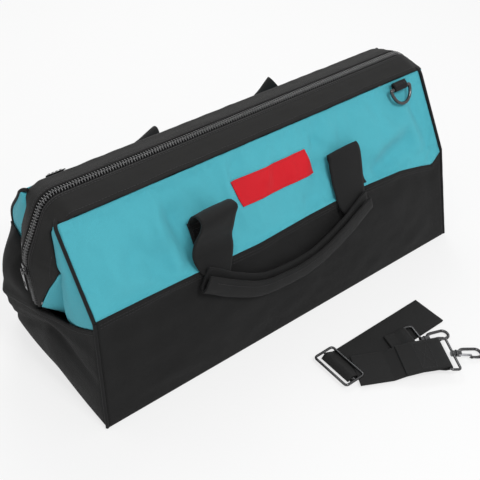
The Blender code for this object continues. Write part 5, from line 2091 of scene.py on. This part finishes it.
def assemble(name: str, pieces: list[Piece], matrix: Matrix, finish: HardFinish, body: str,
             node: str) -> None:
    """Join pieces into one, put it in its place and dress it.

    Args:
        name: The new piece's name.
        pieces: The parts, modelled about the origin.
        matrix: Where they go.
        finish: The finish.
        body: The body it rides on.
        node: The CAD node it stands for.
    """
    activate(*pieces)
    obj = pieces[0]
    if len(pieces) > 1:
        bpy.ops.object.join()
    apply_place(obj, matrix)
    bpy.ops.object.shade_smooth_by_angle(angle=math.radians(40))
    obj.name = name
    obj.data.name = name
    obj.data.materials.clear()
    obj.data.materials.append(finish.material())
    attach(obj, body)
    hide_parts(node)


def axes_matrix(x_axis: Vector, y_axis: Vector, z_axis: Vector, place: Vector) -> Matrix:
    """Return the matrix that takes a piece's own axes and origin into space."""
    turn = Matrix((x_axis, y_axis, z_axis)).transposed().to_4x4()
    return Matrix.Translation(place) @ turn


def turned(place: Triple, degrees: float) -> Matrix:
    """Return the matrix that turns a piece about Z and takes it to a place."""
    return Matrix.Translation(Vector(place)) @ Matrix.Rotation(math.radians(degrees), 4, "Z")


@dataclass
class DRing(Half):
    """A D-ring on its webbing tab, below the mouth band."""

    reach: float = 0.235
    out: float = 0.05213
    height: float = 0.2493
    half: float = 0.0175
    depth: float = 0.0220
    bend: float = 0.0016
    wire: float = 0.0024
    tab_half: float = 0.0115
    tab_tail: float = 0.0090
    tab_wrap: float = 0.0030
    webbing: float = 0.0013
    thread_lift: float = 0.0003
    thread_rows: tuple[Pair, ...] = ((-1.35, 1.06), (-1.95, 0.86))

    def matrix(self) -> Matrix:
        """Return the ring's place: X along its bar, Y down the panel.

        Returns:
            The matrix.
        """
        rise, run = BAG.slope()
        down = Vector((0, self.side * rise, -run))
        along = Vector((1, 0, 0))
        place = Vector((-self.side * self.reach, self.side * self.out, self.height))
        return axes_matrix(along, down, along.cross(down), place)

    def ring(self) -> None:
        """Model the ring from half a circle and a straight bar."""
        arc = new_primitive("circle", scale=(self.half, self.depth, 1.0), vertices=56, radius=1.0)
        with Picked(arc, lambda place: place.y < -TINY):
            bpy.ops.mesh.delete(type="VERT")
        with Picked(arc, lambda place: place.y < TINY):
            bpy.ops.mesh.edge_face_add()
            bpy.ops.mesh.bevel(offset=self.bend, segments=4, affect="VERTICES")
            bpy.ops.mesh.delete(type="ONLY_FACE")
        assemble(f"{self.label}_ring_wire", [make_wire(arc, self.wire)], self.matrix(), GUNMETAL,
                 f"{self.label}_d_ring", f"{self.label}_d_ring")

    def tab(self) -> None:
        """Lay the tab's webbing round the bar and stitch it down."""
        wrap = self.tab_wrap
        matrix = self.matrix()
        tail = self.tab_tail
        profile = [(-tail, -wrap * 0.10), (-tail * 0.6, wrap * 0.55), (-wrap * 0.7, wrap * 0.95)]
        profile += [(wrap * math.sin(angle), wrap * math.cos(angle)) for angle in np.linspace(0, math.pi, 14)]
        profile += [(-wrap * 0.9, -wrap), (-tail * 0.9, -wrap)]
        grid = np.array([[matrix @ Vector((x, down, self.side * lift))
                          for x in np.linspace(-self.tab_half, self.tab_half, 11)]
                         for down, lift in even_path(np.array(profile), 46)])
        tab = make_sheet(f"{self.label}_ring_tab", grid, None, self.webbing, WEBBING, 0.0)
        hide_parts(f"{self.label}_d_ring_tab")
        rows = [np.array([matrix @ Vector((x, wrap * down, self.side * (wrap * lift + self.thread_lift)))
                          for x in np.linspace(-self.tab_half * 0.85, self.tab_half * 0.85, 12)])
                for down, lift in self.thread_rows]
        thread = stitch(f"{self.label}_ring_tab_stitching", rows)
        place_ride(f"{self.label}_mouth", tab, thread)
        declare_sheet(tab, [grid])

    def build(self) -> None:
        """Build and dress the ring and its tab."""
        self.ring()
        self.tab()


@dataclass
class ZipSlider:
    """The slider on the coil's left end run and its flat pull."""

    height: float = 0.181
    face: float = 0.3124
    plate: Triple = (0.0115, 0.0130, 0.0020)
    plate_round: float = 0.0008
    nose: float = 0.72
    eye: float = 0.0041
    bridge: float = 0.0026
    bridge_wire: float = 0.0008
    bridge_drop: float = 0.0017
    pull: Triple = (0.0085, 0.0300, 0.0016)
    pull_round: float = 0.0005
    pull_top: float = 0.0010
    pull_nose: float = 0.74
    cuts: tuple[tuple[Triple, float, float, int], ...] = (
        ((0.0040, 0.0052, 0.01), 0.0036, 0.0010, 4), ((0.0034, 0.0090, 0.01), 0.0205, 0.0014, 5))

    def place(self, out: float) -> Matrix:
        """Return the place of what stands out from the slider's face: X across it, Y down it."""
        return axes_matrix(Vector((0, 1, 0)), Vector((0, 0, -1)), Vector((-1, 0, 0)),
                           Vector((-self.face - out, 0, self.height)))

    def slider(self) -> None:
        """Model the slider: a plate that narrows and the bridge over it."""
        plate = new_box(self.plate, (0, 0, self.plate[2] / 2))
        with Picked(plate, lambda spot: spot.y > 0):
            bpy.ops.transform.resize(value=(self.nose, 1.0, 1.0))
        soften(plate, self.plate_round, 4)
        bridge = new_primitive("torus", major_radius=self.bridge, minor_radius=self.bridge_wire,
                               major_segments=36, minor_segments=12)
        swing(bridge, 90.0, "Y")
        apply_place(bridge, Matrix.Translation((0, 0, self.eye - self.bridge_drop)))
        assemble("slider_body", [plate, bridge], self.place(0.0), SLIDER_METAL, "zip_slider", "zip_slider")

    def pull_tab(self) -> None:
        """Model the pull: a plate that narrows, with the hole for its pin and a long hole."""
        middle = self.pull[1] / 2 - self.pull_top
        tab = new_box(self.pull, (0, middle, 0))
        with Picked(tab, lambda spot: spot.y > middle):
            bpy.ops.transform.resize(value=(self.pull_nose, 1.0, 1.0))
        soften(tab, self.pull_round, 3)
        for sizes, down, round_off, segments in self.cuts:
            cutter = new_box(sizes, (0, down, 0))
            soften(cutter, round_off, segments)
            cut_away(tab, cutter)
        assemble("slider_pull", [tab], self.place(self.eye), SLIDER_METAL, "zip_pull", "zip_pull")

    def build(self) -> None:
        """Model the slider and its pull."""
        self.slider()
        self.pull_tab()


@dataclass
class SnapHook:
    """A snap hook: its wire loop, the swivelling hook and the sprung gate."""

    label: str
    place: Triple
    turn: float
    pitch: float
    loop_width: float = 0.0550
    loop_length: float = 0.0140
    loop_bend: float = 0.0038
    loop_wire: float = 0.0018
    boss_radius: float = 0.0042
    boss_length: float = 0.0050
    barrel_place: float = 0.0208
    barrel_radius: float = 0.0045
    barrel_length: float = 0.0080
    collar_place: float = 0.0181
    collar_wire: float = 0.0007
    slot: Triple = (0.0060, 0.0050, 0.0040)
    slot_place: Triple = (0.0232, -0.0040, 0.0)
    hook_wire: float = 0.0021
    hook_half: float = 0.00715
    straight_end: float = 0.04745
    mouth: float = 0.0370
    shank: tuple[Pair, ...] = ((-0.0100, 0.0), (-0.0060, 0.0), (-0.0035, -0.0006), (-0.0025, -0.0016),
                               (-0.0020, -0.0022))
    gate_start: float = 0.0212
    gate_overlap: float = 0.0025
    gate_thick: float = 0.0020
    gate_width: float = 0.0034
    gate_side: float = -0.0036
    gate_lean: float = 0.0014
    rivet_place: Triple = (0.0220, -0.0020, 0.0)
    rivet_radius: float = 0.0009
    rivet_length: float = 0.0052

    def matrix(self) -> Matrix:
        """Return the hook's place."""
        return turned(self.place, self.turn) @ Matrix.Rotation(math.radians(self.pitch), 4, "Y")

    def loop(self) -> None:
        """Model the wire loop that the webbing goes through, with its swivel boss."""
        wire = wire_frame(self.loop_length, self.loop_width, (self.loop_length / 2, 0, 0), self.loop_bend,
                          self.loop_wire)
        boss = new_primitive("cylinder", (0, 0, self.loop_length), vertices=32, radius=self.boss_radius,
                             depth=self.boss_length)
        soften(boss, 0.0008, 3)
        swing(boss, 90.0, "Y")
        assemble(f"{self.label}_wire_loop", [wire, boss], self.matrix(), GUNMETAL,
                 "shoulder_strap", f"{self.label}_loop")

    def barrel(self) -> Piece:
        """Model the turned barrel, with a collar and its slot for the gate.

        Returns:
            The barrel, along X.
        """
        barrel = new_primitive("cylinder", (0, 0, self.barrel_place), vertices=36, radius=self.barrel_radius,
                               depth=self.barrel_length)
        with Picked(barrel, everywhere):
            bpy.ops.mesh.subdivide(number_cuts=1)
        soften(barrel, 0.0009, 4)
        collar = new_primitive("torus", (0, 0, self.collar_place), major_radius=self.boss_radius,
                               minor_radius=self.collar_wire, major_segments=36, minor_segments=10)
        activate(barrel, collar)
        bpy.ops.object.join()
        swing(barrel, 90.0, "Y")
        cut_away(barrel, new_box(self.slot, self.slot_place))
        return barrel

    def bent_wire(self) -> Piece:
        """Model the hook's bent wire from half a circle with its ends drawn out.

        Returns:
            The wire.
        """
        arc = new_primitive("circle", (self.straight_end, 0, 0), (self.hook_half, self.hook_half, 1.0),
                            vertices=44, radius=1.0)
        with Picked(arc, lambda spot: spot.x < self.straight_end - TINY):
            bpy.ops.mesh.delete(type="VERT")
        with Picked(arc, lambda spot: spot.y > self.hook_half - TINY):
            for step, drift in self.shank:
                bpy.ops.mesh.extrude_region_move(TRANSFORM_OT_translate={"value": (step, drift, 0)})
        with Picked(arc, lambda spot: spot.y < -self.hook_half + TINY):
            reach = self.mouth - self.straight_end
            bpy.ops.mesh.extrude_region_move(TRANSFORM_OT_translate={"value": (reach, 0, 0)})
        return make_wire(arc, self.hook_wire)

    def gate(self) -> None:
        """Model the gate, which closes the hook's mouth from inside."""
        end = self.mouth + self.gate_overlap
        middle = (self.gate_start + end) / 2
        gate = new_box((end - self.gate_start, self.gate_thick, self.gate_width), (middle, self.gate_side, 0))
        with Picked(gate, lambda spot: spot.x < middle):
            bpy.ops.transform.translate(value=(0, self.gate_lean, 0))
        soften(gate, 0.0005, 3)
        rivet = new_primitive("cylinder", self.rivet_place, vertices=20, radius=self.rivet_radius,
                              depth=self.rivet_length)
        soften(rivet, 0.0003, 2)
        assemble(f"{self.label}_gate_leaf", [gate, rivet], self.matrix(), STEEL,
                 f"{self.label}_gate", f"{self.label}_gate")

    def build(self) -> None:
        """Model the whole snap hook."""
        self.loop()
        assemble(f"{self.label}_bent_hook", [self.barrel(), self.bent_wire()], self.matrix(), GUNMETAL,
                 self.label, f"{self.label}_body")
        self.gate()


@dataclass
class Ribbon:
    """A flat length of webbing that follows a path in its own upright plane."""

    name: str
    path: list[Pair]
    matrix: Matrix
    seed: float
    width: float = 0.050
    thick: float = 0.0015
    columns: int = 15
    wave: float = 0.0002
    wave_size: float = 0.020
    count: int = 150

    def spot(self, along: float, across: float, rise: float) -> Vector:
        """Return a point of the ribbon's middle face, with across from -0.5 to 0.5."""
        lift = self.wave * ripple(along, across * self.width, self.wave_size, self.seed)
        return self.matrix @ Vector((along, across * self.width, rise + abs(lift)))

    def build(self, rests_on: str, node: str) -> None:
        """Build and dress the ribbon.

        Args:
            rests_on: What carries it; not used.
            node: The CAD node it stands for.
        """
        grid = np.array([[self.spot(along, across, rise) for across in np.linspace(-0.5, 0.5, self.columns)]
                         for along, rise in even_path(np.array(self.path), self.count)])
        # The strap's webbing is the lighter copy: painted light on the strap lying face up.
        obj = make_sheet(self.name, grid, None, self.thick, LIT_STRAP_WEBBING, 0.0)
        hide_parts(node)
        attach(obj, "shoulder_strap")
        declare_sheet(obj, [grid])


def half_turn(centre: Pair, radius: float, count: int = 14) -> list[Pair]:
    """Return the points of a fold, from under its centre round to over it."""
    return [(centre[0] + radius * math.cos(angle), centre[1] + radius * math.sin(angle))
            for angle in np.linspace(-math.pi / 2, math.pi / 2, count)]


@dataclass
class ShoulderStrap:
    """The shoulder strap, unhooked and folded on the floor before the bag."""

    run: float = 0.1840
    run_place: Triple = (-0.029, -0.224, 0.0)
    low: float = 0.0008
    pitch: float = 0.0026
    end_place: Triple = (0.0076, -0.2480, 0.0)
    end_turn: float = -27.0
    end_tail: float = -0.0130
    end_length: float = 0.1045
    end_low: float = 0.0054
    end_high: float = 0.0134
    end_rise: tuple[Pair, ...] = ((0.30, 0.0), (0.45, 0.58), (0.66, 1.0), (0.86, 1.0))
    end_box: tuple[Pair, ...] = ((0.66, -0.42), (0.85, -0.42), (0.85, 0.42), (0.66, 0.42), (0.66, -0.42),
                                 (0.85, 0.42), (0.85, -0.42), (0.66, 0.42))
    webbing_width: float = 0.050
    wrap: float = 0.0029
    step: float = 0.0022
    thread_lift: float = 0.0010
    tab_tail: float = -0.030
    tab_turn: float = -15.0
    tab_pitch: float = 5.6
    end_pitch: float = 10.8
    glide_length: float = 0.0270
    glide_width: float = 0.0600
    glide_bend: float = 0.0040
    glide_wire: float = 0.0018
    glide_bar: float = 0.00162
    glide_gap: float = 0.0008
    glide_height: float = 0.0067
    glide_room: float = 0.0011
    hook_one: Triple = (0.0882, -0.2553, 0.0083)
    hook_two: Triple = (0.10071, -0.29544, 0.0134)

    def folded_run(self) -> None:
        """Lay the long doubled run through the tri-glide."""
        over = self.glide_height + self.glide_wire + self.glide_room
        high = self.low + self.pitch
        near = mix(high, over, 0.75)
        fold = self.pitch / 2
        length = self.glide_length
        path = [(length * 0.4, self.low), (self.run * 0.5, self.low), (self.run - fold, self.low)]
        path += half_turn((self.run - fold, self.low + fold), fold)[1:]
        path += [(self.run * 0.5, high), (length * 0.95, high), (length * 0.62, near),
                 (length * 0.5, over), (length * 0.38, near), (length * 0.22, high)]
        run = Ribbon("strap_run", path, turned(self.run_place, 0.0), 4.4, count=220)
        run.build("floor", "shoulder_webbing")

    def sewn_end(self) -> None:
        """Lay the end that is sewn round hook two's loop, over the folded run."""
        end = self.end_length
        under = [(end * along, mix(self.end_low, self.end_high, rise)) for along, rise in self.end_rise]
        over = [(x, z + self.step) for x, z in reversed(under[1:])]
        path = [(self.end_tail, self.end_low)] + under + [(end - self.wrap * 2, self.end_high - self.wrap)]
        path += half_turn((end, self.end_high), self.wrap)
        path += [(end - self.wrap * 2, self.end_high + self.wrap)] + over
        matrix = turned(self.end_place, self.end_turn)
        Ribbon("strap_sewn_end", path, matrix, 4.4 + self.end_turn).build("strap_run", "shoulder_webbing_end")
        level = self.end_high + self.step + self.thread_lift
        line = []
        for (x0, y0), (x1, y1) in zip(self.end_box, self.end_box[1:]):
            for share in np.linspace(0, 1, 12)[:-1]:
                across = mix(y0, y1, share) * self.webbing_width
                line.append(matrix @ Vector((mix(x0, x1, share) * end, across, level)))
        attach(stitch("strap_end_stitching", [np.array(line)]), "shoulder_strap")

    def hook_tab(self) -> None:
        """Lay the short tab round hook one's loop."""
        wrap = self.wrap
        tail = self.tab_tail
        path = [(tail, -wrap), (-wrap * 2, -wrap)] + half_turn((0.0, 0.0), wrap)
        path += [(-wrap * 2, wrap * 0.9), (tail / 2, self.step - wrap), (tail, self.step - wrap)]
        place = turned(self.hook_one, self.tab_turn)
        tab = Ribbon("strap_hook_tab", path, place, 4.4 + self.tab_turn, count=70)
        tab.build("strap_run", "shoulder_webbing_tab")

    def tri_glide(self) -> None:
        """Model the tri-glide from a rounded frame of wire and a middle bar."""
        wire = wire_frame(self.glide_length + 2 * self.glide_wire, self.glide_width, ORIGIN, self.glide_bend,
                          self.glide_wire)
        bar = new_primitive("cylinder", vertices=20, radius=self.glide_bar,
                            depth=self.glide_width - self.glide_gap)
        swing(bar, 90.0, "X")
        middle = Vector((self.glide_length / 2, 0, self.glide_height))
        place = Matrix.Translation(Vector(self.run_place) + middle)
        assemble("strap_tri_glide", [wire, bar], place, GUNMETAL, "shoulder_strap", "tri_glide")

    def build(self) -> None:
        """Build and dress the strap with its glide and hooks."""
        self.folded_run()
        self.sewn_end()
        self.hook_tab()
        self.tri_glide()
        SnapHook("hook_one", self.hook_one, self.tab_turn, self.tab_pitch).build()
        SnapHook("hook_two", self.hook_two, self.end_turn, self.end_pitch).build()


# The studio


@dataclass
class Studio:
    """The floor, the light and the camera."""

    camera_place: Triple = (-0.5084, -0.6800, 0.7743)
    camera_aim: Triple = (0.456, 0.616, -0.642)
    camera_roll: float = -1.06
    lens: float = 58.02
    sensor: float = 36.0
    lamp_aim: Triple = (0.0, 0.0, 0.12)
    floor_white: float = 0.92
    floor_glow: float = 0.72
    floor_half: float = 6.0
    floor_level: float = -0.0002
    sky: float = 0.545

    def seen_rays(self, maker: NodeMaker) -> Socket:
        """Return 1 for rays from the camera, off gloss or through glass, else 0.

        Args:
            maker: The material's or the world's node maker.

        Returns:
            The socket.
        """
        path = maker.add("ShaderNodeLightPath").outputs
        glossy = maker.math("MAXIMUM", path["Is Camera Ray"], path["Is Glossy Ray"])
        return maker.math("MAXIMUM", glossy, path["Is Transmission Ray"])

    def floor(self) -> None:
        """Lay a plain white floor that keeps the object's shadow."""
        half = self.floor_half
        mesh = bpy.data.meshes.new("floor")
        corners = [(-half, -half), (half, -half), (half, half), (-half, half)]
        mesh.from_pydata([(x, y, self.floor_level) for x, y in corners], [], [(0, 1, 2, 3)])
        material = bpy.data.materials.new("floor_white")
        material.use_nodes = True
        maker = NodeMaker(material.node_tree)
        maker.tree.nodes.clear()
        diffuse = maker.add("ShaderNodeBsdfDiffuse", {"Color": (self.floor_white,) * 3 + (1.0,)})
        glow = maker.add("ShaderNodeEmission", {"Color": (1.0, 1.0, 1.0, 1.0)})
        share = maker.math("MULTIPLY", self.seen_rays(maker), self.floor_glow)
        blend = maker.add("ShaderNodeMixShader", {0: share, 1: diffuse.outputs[0], 2: glow.outputs[0]})
        maker.add("ShaderNodeOutputMaterial", {"Surface": blend.outputs[0]})
        mesh.materials.append(material)
        add_object("floor", mesh)

    def world(self) -> None:
        """Set the even light that comes from all round, which the camera sees as white."""
        world = bpy.data.worlds.new("studio")
        bpy.context.scene.world = world
        world.use_nodes = True
        maker = NodeMaker(world.node_tree)
        maker.tree.nodes.clear()
        dim, white = (maker.add("ShaderNodeBackground", {"Color": (1.0, 1.0, 1.0, 1.0), "Strength": strength})
                      for strength in (self.sky, 1.0))
        blend = maker.add("ShaderNodeMixShader", {0: self.seen_rays(maker), 1: dim.outputs[0],
                                                  2: white.outputs[0]})
        maker.add("ShaderNodeOutputWorld", {"Surface": blend.outputs[0]})

    def lamp(self, name: str, place: Triple, size: float, power: float) -> None:
        """Hang a soft square lamp that faces the bag.

        Args:
            name: Its name.
            place: Where it hangs.
            size: Its side.
            power: Its power in watts.
        """
        light = bpy.data.lights.new(name, "AREA")
        light.size = size
        light.energy = power
        lamp = add_object(name, light)
        lamp.location = place
        aim = Vector(self.lamp_aim) - Vector(place)
        lamp.rotation_euler = aim.to_track_quat("-Z", "Y").to_euler()

    def camera(self) -> None:
        """Set the camera where the photograph was taken from."""
        data = bpy.data.cameras.new("photo_view")
        data.lens = self.lens
        data.sensor_width = self.sensor
        data.clip_start = 0.01
        camera = add_object("photo_view", data)
        ahead = Vector(self.camera_aim).normalized()
        right = ahead.cross(Vector((0, 0, 1))).normalized()
        up = right.cross(ahead)
        roll = math.radians(self.camera_roll)
        across = right * math.cos(roll) + up * math.sin(roll)
        above = up * math.cos(roll) - right * math.sin(roll)
        camera.matrix_world = axes_matrix(across, above, -ahead, Vector(self.camera_place))
        bpy.context.scene.camera = camera

    def build(self) -> None:
        """Set up the whole studio."""
        self.floor()
        self.world()
        self.lamp("key_lamp", (0.0, -1.2, 1.6), 0.5, 14.0)
        self.lamp("back_lamp", (0.5, 1.0, 1.5), 0.8, 8.0)
        self.camera()
        bpy.context.scene.view_settings.view_transform = "Standard"


def dress_frame_nodes() -> None:
    """Give the CAD nodes that stay in view their finishes."""
    kept = {"base_board": BOARD, "left_pivot_rivet": GUNMETAL, "right_pivot_rivet": GUNMETAL}
    for name, finish in kept.items():
        obj = bpy.data.objects[name]
        obj.data.materials.clear()
        obj.data.materials.append(finish.material())
        LOG.info("%s keeps its CAD shape", name)


def main() -> None:
    """Build the bag, piece by piece, and the studio round it."""
    for label, side in SIDES.items():
        panel, grid = UpperPanel(label).build()
        surface = PanelSurface.of(grid, side)
        straps = ((FRONT_LEFT_STRAP, FRONT_RIGHT_STRAP) if side == FRONT
                  else (REAR_LEFT_STRAP, REAR_RIGHT_STRAP))
        Handle(label, straps, FRONT_GRIP_LINE if side == FRONT else REAR_GRIP_LINE).build(surface)
        if side == FRONT:
            LabelPatch().build(surface)
        MouthHalf(label).build()
        DRing(label).build()
        for end_label in ENDS:
            Corner(label, end_label).build()
        LOG.info("%s half is built", label)
    LowerShell().build()
    ZipSlider().build()
    ShoulderStrap().build()
    dress_frame_nodes()
    Studio().build()


if __name__ == "__main__":
    main()
